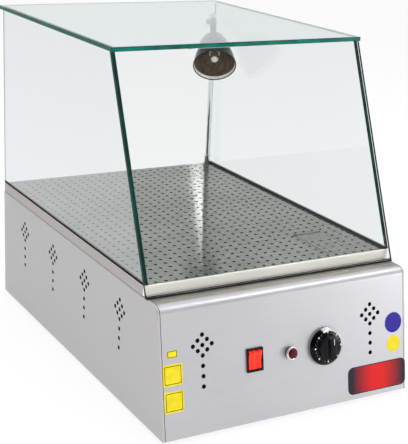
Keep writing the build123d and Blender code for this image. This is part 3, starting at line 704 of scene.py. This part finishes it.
along_x = (14, 900, 900)
along_y = (900, 14, 900)
panel_metal = brushed("panel steel", (0.49, 0.49, 0.515), 0.4, along_x, 0.7)
# Painted shade: the flange, the front sheet folded over, gets a darker brown-grey copy of the panel
# steel
flange_steel_painted_shade = brushed("flange steel, painted shade", (0.33, 0.3, 0.28), 0.36, along_x, 0.85, 0.16)
# Painted light and shade: the deck skirt, the same sheet as the deck, gets a pale copy at front and
# rear and a darker copy at the sides
skirt_steel_painted_light = brushed("skirt steel", (0.8, 0.735, 0.68), 0.4, along_x, 0.2, 0.08)
side_skirt_painted_shade = brushed("side skirt steel, painted shade", (0.42, 0.39, 0.375), 0.42, along_y, 0.6, 0.08)
side_metal = brushed("side steel", (0.48, 0.47, 0.47), 0.44, along_y, 0.6)
deck_metal = deck_steel()
# Dark grey steel inside the base and on the hatch hinge, darker than the outer steel: partly its
# own colour, partly painted shade
inner_metal_painted_shade = brushed("inner steel, partly painted shade", (0.2, 0.2, 0.2), 0.45, along_x, 0.8)
dark_metal = brushed("element sheath", (0.09, 0.085, 0.08), 0.5, along_y, 0.6)
# Painted shade: the inner faces and cut edges of the sheets, the walls of their holes too, are near
# black instead of steel
painted_shade_inside = moulded("inside of the sheet, painted shade", (0.006, 0.006, 0.006), 0.7, Specular_IOR_Level=0.05)
chrome = polished("chrome", (0.78, 0.79, 0.8), 0.07)
painted_highlight_ring = ring_chrome_painted_highlight()
dark_chrome_painted_shade = polished("dark chrome, painted shade", (0.1, 0.1, 0.105), 0.2)
satin_chrome = polished("satin chrome", (0.92, 0.92, 0.94), 0.35)
shade_outside = polished("shade outside", (0.02, 0.024, 0.023), 0.14)
shade_inside = brushed("shade inside", (0.24, 0.14, 0.072), 0.4, (170, 170, 30), 0.5, 0.7, 0.005)
shade_rim = brushed("shade rim", (0.97, 0.93, 0.85), 0.4, (60, 60, 60), 0.0, 0.03, 0.005)
brass_metal = polished("brass", (0.72, 0.53, 0.24), 0.25)
black_plastic = moulded("black plastic", (0.004, 0.004, 0.005), 0.25, Specular_IOR_Level=0.18)
red_plastic = ribbed_red()
grey_plastic = moulded("grey plastic", (0.12, 0.12, 0.12), 0.5)
cream_plastic = moulded("cream plastic", (0.7, 0.66, 0.52), 0.5)
white_print = moulded("white print", (0.85, 0.85, 0.85), 0.5)
black_rubber = moulded(
    "black rubber", (0.01, 0.01, 0.01), 0.7, grain=600, depth=0.08, Specular_IOR_Level=0.15
)
ceramic = moulded("ceramic", (0.76, 0.7, 0.6), 0.25)
lens_red = moulded("lens red", (0.06, 0.001, 0.005), 0.08, variation=0.5, Specular_IOR_Level=0.25)
red_shaded = shaded_plate()
yellow_foil = plain_plate("yellow foil", (0.58, 0.47, 0.012))
black_foil = plain_plate("black foil", (0.008, 0.008, 0.008))
blue_foil = plain_plate("blue foil", (0.02, 0.016, 0.21))
dark_foil = plain_plate("dark foil", (0.03, 0.022, 0.035))
# Painted shade: the panes are one glass, but each gets its own tint, darkest on the left pane and
# clearest on the front, to copy how dark each looks in this view
left_glass_painted_shade = clear_glass("left glass, painted shade", (0.825, 0.855, 0.875), 1.7)
right_glass = clear_glass("right glass", (0.955, 0.97, 0.98), 1.3)
front_glass = clear_glass("front glass", (0.97, 0.985, 0.99))
top_glass = clear_glass("top glass", (0.87, 0.965, 0.985))
edge_glass = glass_edge("glass edge", (0.0, 0.05, 0.037), (0.0, 0.15, 0.11))
darker_edge_painted_shade = glass_edge("front glass edge, painted shade", (0.0, 0.014, 0.013), (0.0, 0.06, 0.052))
bulb_glass = white_glass()
bulb_side = moulded("bulb side", (0.16, 0.1, 0.055), 0.2, variation=0.25)
socket_brown = moulded("socket brown", (0.1, 0.065, 0.04), 0.35, variation=0.2)
record_slots = {
    "panel_steel": (panel_metal, flange_steel_painted_shade, skirt_steel_painted_light, side_skirt_painted_shade),
    "side_steel": (side_metal,),
    "deck_steel": (deck_metal,),
    "inner_steel": (inner_metal_painted_shade, dark_metal, painted_shade_inside),
    "chrome": (chrome, painted_highlight_ring, dark_chrome_painted_shade, satin_chrome, shade_rim),
    "lamp_metal": (shade_outside, shade_inside),
    "brass": (brass_metal,),
    "black_plastic": (black_plastic, white_print, black_foil, dark_foil, blue_foil, yellow_foil),
    "red_plastic": (red_plastic, red_shaded),
    "grey_plastic": (grey_plastic,),
    "terminal_plastic": (cream_plastic,),
    "rubber": (black_rubber,),
    "white_ceramic": (ceramic, socket_brown),
    "dark_red_lens": (lens_red,),
    "pane_glass": (left_glass_painted_shade, right_glass, front_glass, top_glass, edge_glass, darker_edge_painted_shade),
    "bulb_glass": (bulb_glass, bulb_side),
}
slot_of = {material.name: slot for slot, used in record_slots.items() for material in used}


# Base

def profile_points():
    """Outer line of the folded front, from its bottom edge over the fold to the deck.

    Each entry is a point and the outward normal there, in the plane of depth and height.
    """
    fold_at = Vector((front_y + panel_setback, base_top))
    up = Vector((sin(slant), cos(slant)))
    turn = pi / 2 - slant
    run = fold_radius * tan(turn / 2)
    start = fold_at - up * run
    centre = start + Vector((cos(slant), -sin(slant))) * fold_radius
    line = [(Vector((front_y, base_bottom)), Vector((-cos(slant), sin(slant))))]
    for i in range(fold_steps + 1):
        angle = pi - slant - turn * i / fold_steps
        out = Vector((cos(angle), sin(angle)))
        line.append((centre + out * fold_radius, out))
    return line


def bend():
    """Steps round a quarter bend, as shares of its radius left to its side and to its top."""
    for k in range(bend_steps + 1):
        angle = pi / 2 * k / bend_steps
        yield 1 - sin(angle), 1 - cos(angle)


def front_panel():
    """Front sheet, folded over at its top, with its vent holes."""
    line = profile_points()
    line.append((Vector((panel_high.y, base_top)), Vector((0, 1))))
    reach = [0.0]
    for (a, _), (b, _) in zip(line, line[1:]):
        reach.append(reach[-1] + (b - a).length)
    half = side_x - edge_bend - side_return - seam
    fold_end = line[-2][0].x

    def on_sheet(u, v):
        k = max(i for i in range(len(line) - 1) if reach[i] <= v + 1e-6)
        share = (v - reach[k]) / (reach[k + 1] - reach[k])
        point = line[k][0].lerp(line[k + 1][0], share)
        return Vector((u, point.x, point.y))

    holes = []
    for x in (-front_vent_x, front_vent_x):
        holes += vent_holes(x, front_vent_height / cos(slant))
    middle = control_height / cos(slant)
    hole_width, hole_length = switch_width / 2 - switch_lip, switch_length / 2 - switch_lip
    holes += [
        [
            (switch_x + i * hole_width, middle + j * hole_length)
            for i, j in ((-1, -1), (1, -1), (1, 1), (-1, 1))
        ],
        circle(pilot_x, middle, pilot_stem, round_sides),
        circle(knob_x, middle, shaft_hole, round_sides),
    ]
    outline = [(-half, 0), (half, 0), (half, reach[-1]), (-half, reach[-1])]
    flat, faces = holed(outline, holes, [((-half, v), (half, v)) for v in reach[1:-1]])
    piece = folded(
        "front_panel_sheet", [on_sheet(*p) for p in flat], faces, panel_out, "case",
        [panel_metal, flange_steel_painted_shade, painted_shade_inside, painted_shade_inside],
        lambda face: 1 if face.center.y / MM > fold_end else 0,
    )
    weighted(piece)
    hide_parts("front_panel")


def vent_holes(x, y):
    """One group of round vents: a square set on its corner and a tail below it."""
    step = vent_pitch * sqrt(2) / 2
    spots = [(i - j, i + j) for i in (-1, 0, 1) for j in (-1, 0, 1)]
    spots += [(0, -2 * (2 + i)) for i in range(vent_tail)]
    return [circle(x + i * step, y + j * step, vent_radius, vent_sides) for i, j in spots]


def side_panel(name, node, side):
    """Side sheet whose front and top edges are bent in over a small radius."""
    line = profile_points()
    line.append((Vector((rear_y - sheet, base_top)), Vector((0, 1))))
    inset = [point - out * edge_bend for point, out in line]
    outline = [tuple(p) for p in inset] + [(rear_y - sheet, base_bottom)]
    holes = []
    for i in range(side_vent_count):
        y = front_y + side_vent_start + i * side_vent_spacing
        holes += vent_holes(y, base_bottom + side_vent_height)
    flat, faces = holed(outline, holes)
    wall = [Vector((side * side_x, *p)) for p in flat], faces
    loops = [
        [
            Vector((side * (side_x - edge_bend * inwards), *(point - out * edge_bend * depth)))
            for point, out in line
        ]
        for depth, inwards in bend()
    ]
    back = side * (side_x - edge_bend - side_return)
    loops.append([Vector((back, *point)) for point, _ in line])
    points, faces = joined(wall, rings(loops, closed=False))
    piece = folded(
        name, points, faces, (side, 0, 0), "case", [side_metal, painted_shade_inside],
        thickness=side_sheet,
    )
    weighted(piece)
    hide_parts(node)


# Deck and hatch

# Left, front, right and rear edge of the hatch opening
hatch_opening = (
    hatch_x - hatch_width / 2, front_y + hatch_front,
    hatch_x + hatch_width / 2, front_y + hatch_rear,
)


def inside(x, y, edges, margin):
    """Whether a point lies within a rectangle widened by a margin."""
    x0, y0, x1, y1 = edges
    return x0 - margin < x < x1 + margin and y0 - margin < y < y1 + margin


def hole_centres():
    """The deck's whole lattice of holes."""
    return [
        (hole_first_x + i * hole_pitch, front_y + hole_first_row + j * hole_pitch)
        for i in range(hole_columns)
        for j in range(hole_rows)
    ]


def deck():
    """Perforated lid with bent edges, its skirt standing on the base."""
    x0, y0, x1, y1 = -side_x, deck_low.y, side_x, rear_y
    pole_y = front_y + pole_back
    holes = [
        circle(x, y, hole_radius, hole_sides)
        for x, y in hole_centres()
        if not inside(x, y, hatch_opening, hatch_margin)
        and hypot(x - pole_x, y - pole_y) > pole_clearance
    ]
    holes.append(rounded_rectangle(*hatch_opening, hatch_corner, 2))

    def outline(inset):
        edges = x0 + inset, y0 + inset, x1 - inset, y1 - inset
        return rounded_rectangle(*edges, deck_corner - inset)

    flat, faces = holed(outline(deck_bend), holes)
    top = [Vector((*p, deck_top)) for p in flat], faces
    loops = [
        [Vector((*p, deck_top - deck_bend * drop)) for p in outline(deck_bend * out)]
        for out, drop in bend()
    ]
    loops.append([Vector((*p, base_top + skirt_gap)) for p in outline(0)])
    points, faces = joined(top, rings(loops))

    # Painted light and shade: the top takes the deck steel, the skirt's front and rear faces the
    # pale copy and its sides the darker copy
    def choose(face):
        if abs(face.normal.z) < 0.9:
            return 2 if abs(face.normal.x) > 0.7 else 1
        return 0

    piece = folded(
        "deck_sheet", points, faces, (0, 0, 1), "case",
        [deck_metal, skirt_steel_painted_light, side_skirt_painted_shade, painted_shade_inside, painted_shade_inside, painted_shade_inside], choose,
    )
    weighted(piece)
    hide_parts("perforated_deck")


def hatch():
    """Hatch lid with its holes, flush in the deck, and its hinge's leaf and middle knuckle."""
    left, front, right, _ = hatch_opening
    pin_low, pin_high = corners("hatch_hinge_pin")
    axis_y, axis_z = (pin_low.y + pin_high.y) / 2, (pin_low.z + pin_high.z) / 2
    rear = axis_y - hinge_side
    lid = (left + hatch_wide_gap, front + hatch_gap / 2, right - hatch_narrow_gap, rear)
    plain_from = front_y + hatch_plain
    holes = [
        circle(x, y, hole_radius, hole_sides)
        for x, y in hole_centres()
        if inside(x, y, lid, -hole_radius - hatch_rim) and y < plain_from
    ]
    flat, faces = holed(rounded_rectangle(*lid, hatch_corner, 2), holes)
    points = [Vector((*p, deck_top)) for p in flat]
    piece = folded("hatch_lid_sheet", points, faces, (0, 0, 1), "hatch", [deck_metal])
    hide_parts("hatch_lid")
    axle = Matrix.Translation((hatch_x, axis_y, axis_z)) @ Matrix.Rotation(pi / 2, 4, "Y")
    profile = ((hinge_bore, -hinge_half), (hinge_radius, -hinge_half))
    profile += tuple((radius, -height) for radius, height in reversed(profile))
    turned("hatch_knuckle", profile + profile[:1], axle, "hatch", [inner_metal_painted_shade], 32)
    x0, x1, y0 = hatch_x - hinge_half, hatch_x + hinge_half, rear - hinge_lap
    leaf = [(x0, y0), (x1, y0), (x1, axis_y), (x0, axis_y)]
    under = deck_top - sheet
    raised(
        "hatch_leaf", leaf, Matrix(), under - hinge_leaf, under, "hatch", [deck_metal],
        hinge_rounding, 1,
    )


front_panel()
side_panel("left_side_sheet", "left_side_panel", -1)
side_panel("right_side_sheet", "right_side_panel", 1)
deck()
hatch()


# Glass

def pane(node, glass):
    """A pane with green edge faces between polished arrises, its foot black in the seal."""
    piece = dressed(node, "case", [glass, edge_glass, black_rubber, darker_edge_painted_shade], edge=0)
    mesh = piece.data
    work = bmesh.new()
    work.from_mesh(mesh)
    work.normal_update()
    flat = [face.normal.copy() for face in work.faces]
    largest = max(work.faces, key=lambda f: f.calc_area()).normal.copy()
    bmesh.ops.bevel(
        work, geom=work.edges, offset=glass_arris * MM, offset_type="OFFSET", segments=1,
        profile=0.5, affect="EDGES",
    )
    for face in work.faces:
        face.smooth = False
        face.material_index = 0
        is_end = any(face.normal.dot(normal) > 0.999 for normal in flat)
        if is_end and abs(face.normal.dot(largest)) < 0.9:
            # Painted shade: the upright panes' ends that don't face back, and the front pane's
            # right arrises, take the darker edge green
            is_upright = abs(largest.z) < 0.9 and face.normal.y < 0.5
            face.material_index = 2 if face.normal.z < -0.9 else 3 if is_upright else 1
        elif face.normal.x > 0.5 and abs(largest.x) < 0.1 and abs(largest.z) < 0.9:
            face.material_index = 3
    work.to_mesh(mesh)
    work.free()


pane("glass_left", left_glass_painted_shade)
pane("glass_right", right_glass)
pane("glass_front", front_glass)
pane("glass_top", top_glass)


# Controls

def rocker_switch():
    """Rocker dished between its two ends, tilted as it is when switched off."""
    tilt = Matrix.Rotation(radians(rocker_tilt), 4, "X")
    place = place_on_panel(switch_x, lift=-rocker_axis_depth) @ tilt
    reach = sqrt(rocker_radius**2 - rocker_end**2)
    line = []
    for i in range(-rocker_steps, rocker_steps + 1):
        rise = (abs(i) / rocker_steps) ** rocker_hollow
        height = rocker_middle + (rocker_end - rocker_middle) * rise
        line.append((reach * i / rocker_steps, height))
    start, end = atan2(rocker_end, reach), -atan2(rocker_root, rocker_radius)
    for i in range(1, rocker_side_steps + 1):
        angle = start + (end - start) * i / rocker_side_steps
        line.append((rocker_radius * cos(angle), rocker_radius * sin(angle)))
    line += [(-y, z) for y, z in reversed(line[2 * rocker_steps + 1:])]
    upright = place @ Matrix(((0, 0, 1, 0), (1, 0, 0, 0), (0, 1, 0, 0), (0, 0, 0, 1)))
    piece = raised(
        "rocker_dished", line, upright, -rocker_width / 2, rocker_width / 2,
        "power_rocker", [red_plastic], rocker_rounding, 3,
    )
    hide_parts("rocker")


def pilot_light():
    """Bright rolled ring round a faceted lens; the ring's side takes dark chrome, a painted shade.
    """
    place = place_on_panel(pilot_x)
    ring = turned(
        "pilot_ring", pilot_ring, place, "case", [satin_chrome, dark_chrome_painted_shade],
        choose=lambda r, z, _: 0 if z > pilot_painted_shade_below else 1,
    )
    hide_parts("pilot_housing")
    lens = turned(
        "pilot_facets", pilot_lens_facets, place, "case", [lens_red], pilot_lens_sides, crease=5
    )
    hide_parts("pilot_lens")


def scoop_depth(x):
    """How far the grip's top is cut down at a distance from its finger bar's middle."""
    points = ((0, 0),) + grip_scoop
    for (x0, d0), (x1, d1) in zip(points, points[1:]):
        if x <= x1:
            return d0 + (d1 - d0) * (x - x0) / (x1 - x0)
    return points[-1][1]


def heat_knob():
    """Dial with a bevelled ring whose chrome carries a painted highlight, and a grip with a finger
    bar.
    """
    place = place_on_panel(knob_x)
    ring = turned(
        "knob_ring_bevelled", knob_ring_profile, place, "heat_knob", [painted_highlight_ring], fine_sides
    )
    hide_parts("knob_ring")
    raised_part = dial_lift + dial_step
    dial = (
        (dial_bore, dial_bottom), (dial_radius, dial_bottom), (dial_radius, dial_lift),
        (grip_base + dial_step_width, dial_lift), (grip_base, raised_part),
        (dial_bore, raised_part), (dial_bore, dial_bottom),
    )
    turned("knob_dial", dial, place, "heat_knob", [black_plastic], fine_sides)
    knob_grip(place)
    dial_print(place)


def knob_grip(place):
    """Round grip, tapered, its top scooped out at both sides of the finger bar."""
    widths = sorted({x for x, _ in grip_scoop} | set(grip_columns))
    columns = [-x for x in reversed(widths) if x] + widths
    spans = list(grip_rows) + [-t for t in reversed(grip_rows[:-1])]
    narrowing = tan(radians(grip_taper))
    points = []
    for x in columns:
        height = grip_top - scoop_depth(abs(x))
        radius = grip_base - (height - dial_lift) * narrowing
        chord = sqrt(max(radius**2 - x**2, grip_least_chord**2))
        for t in spans:
            y = chord * t
            edge = max(hypot(x, y) - (radius - grip_rounding), 0) / grip_rounding
            drop = grip_rounding * (1 - sqrt(max(1 - min(edge, 1) ** 2, 0)))
            points.append((x, y, height - drop))
    count = len(spans)
    faces = [
        (k * count + i, (k + 1) * count + i, (k + 1) * count + i + 1, k * count + i + 1)
        for k in range(len(columns) - 1)
        for i in range(count - 1)
    ]
    last = len(columns) - 1
    rim = [k * count for k in range(last)] + [last * count + i for i in range(count)]
    rim += [k * count + count - 1 for k in reversed(range(last))]
    rim += reversed(range(1, count - 1))
    first = len(points)
    for i in rim:
        x, y, _ = points[i]
        scale = grip_base / hypot(x, y)
        points.append((x * scale, y * scale, dial_lift))
    for i, top in enumerate(rim):
        j = (i + 1) % len(rim)
        faces.append((top, first + i, first + j, rim[j]))
    points = [place @ Vector(p) for p in points]
    grip = made(
        "knob_grip", points, faces, "heat_knob", [black_plastic], grip_smooth_angle, panel_out
    )
    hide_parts("knob")


def dial_print(place):
    """White marks and dots round the dial, and the line on the finger bar."""
    def mark(name, outline, at, low, high):
        raised(name, outline, at, low, high, "heat_knob", [white_print], mark_rounding, 1)

    wedge = [(mark_inner, 0), (mark_outer, -mark_width / 2), (mark_outer, mark_width / 2)]
    dot = circle(dot_ring, 0, dot_radius, 10)
    top = dial_lift + mark_height
    for k in range(mark_count):
        at = place @ Matrix.Rotation(radians(90 + mark_step * k), 4, "Z")
        mark(f"dial_mark_{k}", wedge, at, dial_lift, top)
        for part in range(1, dots_between + 1):
            turn = Matrix.Rotation(radians(mark_step * part / (dots_between + 1)), 4, "Z")
            mark(f"dial_dot_{k}_{part}", dot, at @ turn, dial_lift, top)
    mark("knob_pointer", pointer_outline, place, grip_top - pointer_sunk, grip_top + pointer_height)


dressed("switch_housing", "case", [black_plastic], 0.6, 3)
dressed("knob_bezel", "case", [black_plastic], 0.4)
rocker_switch()
pilot_light()
heat_knob()


# Bare plates on the front panel

plate_thickness = 0.12
plate_rounding = 0.04
line_thickness = 0.14
face_thickness = 0.16
red_thickness = 0.15
least_corner = 0.3
plate_line = 0.9

# Name, width, length, corner, place across and up the panel, line's distance from the edge
yellow_plates = (
    ("small_plate", 14.6, 9.8, 0.8, -181.3, 114.6, 0.5),
    ("upper_plate", 29, 29, 2.5, -181.5, 87.0, 2.2),
    ("lower_plate", 29, 29, 2.5, -181.0, 51.2, 2.2),
)

# Name, radius, place across and up the panel, material
round_plates = (
    ("blue_plate", 15, 177.9, 101, blue_foil),
    ("yellow_round_plate", 12, 178, 70, yellow_foil),
)
wide_plate = ("wide_plate", wide_plate_width, 40.4, 9, wide_plate_x, 26.8)


def plate(name, outline, x, height, material, thickness=plate_thickness):
    """A thin bare plate stuck on the sloped panel."""
    place = place_on_panel(x, height)
    raised(name, outline, place, 0, thickness, "case", [material], plate_rounding, 1)


def layered(name, width, length, corner, x, height, steps, layers):
    """A plate of layers: ending of the name, distance from the edge, material and top."""
    for ending, inset, material, top in layers:
        half, tall = width / 2 - inset, length / 2 - inset
        radius = max(corner - inset, least_corner)
        outline = rounded_rectangle(-half, -tall, half, tall, radius, steps)
        plate(name + ending, outline, x, height, material, top)


def plates():
    """All the plates, without any print."""
    for *where, border in yellow_plates:
        layered(*where, 4, (
            ("", 0, yellow_foil, plate_thickness),
            ("_line", border, black_foil, line_thickness),
            ("_face", border + plate_line, yellow_foil, face_thickness),
        ))
    for name, radius, x, height, material in round_plates:
        plate(name, circle(0, 0, radius, 48), x, height, material)
    layered(*wide_plate, 8, (
        ("", 0, dark_foil, plate_thickness),
        ("_face", wide_plate_rim, red_shaded, red_thickness),
    ))


plates()


# Lamp

def lamp_places():
    """Frames at the lamp's tilt pin, one along the pin and one along the lamp's own axis."""
    low, high = corners("tilt_pin")
    pivot = (low + high) / 2
    turn, droop = radians(lamp_heading), radians(lamp_droop)
    heading = Vector((-sin(turn), -cos(turn), 0))
    across = Vector((cos(turn), -sin(turn), 0))
    aim = heading * cos(droop) - Vector((0, 0, sin(droop)))
    pin = placed(pivot, heading, across.cross(heading), across)
    return pin, placed(pivot, across, aim.cross(across), aim)


def arc(start, middle, end, steps):
    """Points on the circle through three points."""
    a, b, c = complex(*start), complex(*middle), complex(*end)
    ratio = (c - a) / (b - a)
    centre = a + (b - a) * (ratio - abs(ratio) ** 2) / (2j * ratio.imag)
    first, last = phase(a - centre), phase(c - centre)
    angles = [first + (last - first) * i / steps for i in range(steps + 1)]
    points = [centre + rect(abs(a - centre), angle) for angle in angles]
    return [(point.real, point.imag) for point in points]


def lamp_shade(head):
    """Spun bell shade with a beaded rim, dark outside and bronze inside."""
    outer = list(shade_neck) + arc(shade_shoulder, shade_belly, shade_lip, shade_steps)
    bead_r, bead_z = shade_radius - shade_bead, shade_reach - shade_bead
    bead = round_points(bead_r, bead_z, shade_bead, -30, 210, 10)
    inner = [(r - shade_wall, z - shade_inset) for r, z in reversed(outer[4:])]
    inner += [(shade_collar, shade_back + shade_wall), (outer[0][0], shade_back + shade_wall)]

    def choose(_, z, outwards):
        if outwards or z > shade_reach - 2 * shade_bead:
            return 0
        return 2 if z > shade_reach - shade_band else 1

    piece = turned(
        "shade_spun", outer + bead + inner, head, "lamp_head",
        [shade_outside, shade_inside, shade_rim], fine_sides, choose, 60,
    )
    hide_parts("lamp_shade")


def lamp_head():
    """Shade, socket, bulb and thumb knob."""
    pin, head = lamp_places()
    lamp_shade(head)
    piece = turned(
        "socket_ribbed", socket_profile, head, "lamp_head", [ceramic, socket_brown],
        choose=lambda r, z, _: 0 if z > socket_rim_from and r > socket_rim_radius else 1,
    )
    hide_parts("lamp_socket")
    bulb = [(0.0, bulb_foot), (bulb_radius, bulb_foot)]
    bulb += round_points(bulb_radius - bulb_dome, bulb_reach - bulb_dome, bulb_dome, 0, 90, 9)
    bulb.append((0.0, bulb_reach))
    piece = turned(
        "bulb_milky", bulb, head, "lamp_head", [bulb_glass, bulb_side],
        choose=lambda r, z, _: 0 if z > bulb_reach - bulb_dome * 0.8 else 1,
    )
    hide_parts("lamp_bulb")
    low, high = corners("thumb_knob")
    near = (pin.inverted() @ ((low + high) / 2)).z
    outline = []
    for i in range(thumb_flutes * thumb_flute_steps):
        angle = 2 * pi * i / (thumb_flutes * thumb_flute_steps)
        radius = thumb_radius - thumb_flute_depth * max(0, cos(angle * thumb_flutes)) ** 2
        outline.append((radius * cos(angle), radius * sin(angle)))
    piece = raised(
        "thumb_knob_fluted", outline, pin, near - thumb_half, near + thumb_half, "lamp_clamp",
        [chrome], 0.8,
    )
    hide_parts("thumb_knob")


lamp_head()
dressed("lamp_pole", "case", [chrome], 0.3)
dressed("pole_collar", "case", [chrome], 0.3)
dressed("pole_cap", "case", [chrome], 0.4)
dressed("swivel_block", "lamp_swivel", [chrome], 0.4)
dressed("tilt_pin", "lamp_clamp", [chrome], 0.2)
dressed("lamp_neck", "lamp_head", [shade_outside], 0.4)


# Rear fittings and screws

def screw(name, place):
    """Button-head screw with a hexagonal socket."""
    profile = [(screw_radius * share, z) for share, z in screw_outline]
    loops = turned_loops(profile, place, round_sides)
    socket = []
    for i in range(round_sides):
        angle = 2 * pi * i / round_sides
        r = screw_radius * screw_socket * cos(pi / 6) / cos((angle % (pi / 3)) - pi / 6)
        socket.append((r * cos(angle), r * sin(angle)))
    for z in screw_socket_heights:
        loops.append([place @ Vector((*p, z)) for p in socket])
    loops.append([place @ Vector((0, 0, screw_socket_middle))] * round_sides)
    made(name, *rings(loops), "case", [chrome], 40, place.to_3x3() @ Vector((0, 0, 1)))


def rear_screws():
    """Screws that hold the rear panel."""
    turn = Matrix.Rotation(-pi / 2, 4, "X")
    for i, x in enumerate(screw_columns):
        for j, z in enumerate(screw_rows):
            screw(f"rear_screw_{i}_{j}", Matrix.Translation((x, rear_y, z)) @ turn)


rear_screws()
dressed("rear_panel", "case", [side_metal], 0.25, 1)
dressed("cable_gland", "case", [black_plastic], 0.5, 2)


# CAD nodes that stay, with their finish

finishes = (
    (inner_metal_painted_shade, (
        "bottom_plate", "hatch_hinge", "hatch_hinge_pin", "water_pan", "pan_rail_left",
        "pan_rail_right", "element_bracket_front", "element_bracket_rear",
    )),
    (black_rubber, (
        "foot_front_left", "foot_front_right", "foot_rear_left", "foot_rear_right", "seal_left",
        "seal_right", "seal_front",
    )),
    (brass_metal, ("pilot_nut", "pole_nut")),
    (dark_metal, ("heating_element",)),
    (ceramic, ("element_terminals",)),
    (grey_plastic, ("regulator_body",)),
    (chrome, ("regulator_shaft",)),
    (black_plastic, ("gland_nut",)),
    (cream_plastic, ("terminal_block",)),
)
for material, nodes in finishes:
    for node in nodes:
        mesh = frame["nodes"][node].data
        mesh.materials.clear()
        mesh.materials.append(material)


# Floor, light and camera

# Light of the surround, and its fade from dark at the left to white at the right and behind
soft_strength = 0.75
fade_along = (0.75, 0.8, 0.25)
dark_until = -0.22
white_from = 0.35
studio_dark = 0.2
studio_white = 1.0
studio_grey = (0.8, 0.8, 0.8, 1)
white = (1, 1, 1, 1)
floor_reach = 9.0
floor_grey = (0.9, 0.9, 0.9, 1)
floor_white = 0.85
floor_mirrored = 0.95


def floor():
    """Pale floor that keeps the shadow and shows near white."""
    mesh = bpy.data.meshes.new("floor")
    far = floor_reach
    outline = [(-far, -far, 0), (far, -far, 0), (far, far, 0), (-far, far, 0)]
    mesh.from_pydata(outline, [], [(0, 1, 2, 3)])
    material = bpy.data.materials.new("floor")
    material.use_nodes = True
    tree = material.node_tree
    tree.nodes.clear()
    mirrored = add_node(tree, "LightPath").outputs["Is Glossy Ray"]
    glow = add_node(tree, "Emission", white, mapped(mirrored, 0, 1, 1, floor_mirrored))
    share = combined("MULTIPLY", seen_directly(tree), floor_white)
    matt = add_node(tree, "BsdfDiffuse", floor_grey)
    add_node(tree, "OutputMaterial", add_node(tree, "MixShader", share, matt, glow))
    mesh.materials.append(material)
    plane = put("floor", mesh)


def combined(operation, first, second):
    """Two values combined by an operation."""
    node = add_node(first, "Math", first, second)
    node.operation = operation
    return node


def seen_directly(tree):
    """1 for camera, glossy and transmission rays."""
    rays = add_node(tree, "LightPath").outputs
    seen = combined("MAXIMUM", rays["Is Camera Ray"], rays["Is Glossy Ray"])
    return combined("MAXIMUM", seen, rays["Is Transmission Ray"])


def world():
    """White surround, softer as a light than as a background, and graded in reflections."""
    surround = bpy.data.worlds.new("surround")
    surround.use_nodes = True
    tree = surround.node_tree
    tree.nodes.clear()

    level = mapped(
        along(tree, "Generated", fade_along), dark_until, white_from, studio_dark, studio_white,
        "SMOOTHSTEP",
    )
    studio = add_node(tree, "Background", studio_grey, level)
    plain = add_node(tree, "Background", white, 1)
    soft = add_node(tree, "Background", white, soft_strength)
    mirrored = add_node(tree, "LightPath").outputs["Is Glossy Ray"]
    shown = add_node(tree, "MixShader", mirrored, plain, studio)
    add_node(tree, "OutputWorld", add_node(tree, "MixShader", seen_directly(tree), soft, shown))
    bpy.context.scene.world = surround


def softbox(name, place, target, size, power, mirrored=True):
    """Area light of a width and a height that looks at a point, all in metres."""
    lamp = bpy.data.lights.new(name, "AREA")
    lamp.shape = "RECTANGLE"
    lamp.size, lamp.size_y = size
    lamp.energy = power
    holder = put(name, lamp)
    holder.location = place
    ahead = Vector(target) - Vector(place)
    holder.rotation_mode = "QUATERNION"
    holder.rotation_quaternion = ahead.to_track_quat("-Z", "Y")
    holder.visible_camera = False
    holder.visible_transmission = False
    holder.visible_glossy = mirrored


def camera():
    """The photograph's camera."""
    lens = bpy.data.cameras.new("camera")
    lens.sensor_width = sensor
    lens.lens = focal_pixels * sensor / photo_height
    holder = put("camera", lens)
    back = -Vector(camera_ahead).normalized()
    right = -Vector(camera_down).cross(back).normalized()
    holder.matrix_world = placed(Vector(camera_place) * MM, right, back.cross(right), back)
    bpy.context.scene.camera = holder


floor()
world()
softbox("right light", (2.1, -2.0, 0.3), (0.1, -0.3, 0.1), (0.55, 0.55), 15)
softbox("top light", (-0.2, 0.7, 2.5), (0, 0, 0.2), (1.5, 1.5), 22)
softbox("front light", (-1.3, -2.3, 1.1), (0.1, 0, 0.3), (0.25, 0.25), 40, mirrored=False)
softbox("side light", (2.2, 0.35, 0.75), (0.05, -0.28, 0.1), (0.7, 0.7), 6)
softbox("fold light", (1.15, -0.93, 2.0), (0.1, -0.27, 0.18), (1.8, 0.08), 13)
softbox("rear light", (2.515, 4.38, 1.73), (0.03, 0.04, 0.2), (0.07, 0.1), 0.35)
camera()
bpy.context.scene.view_settings.view_transform = "Standard"
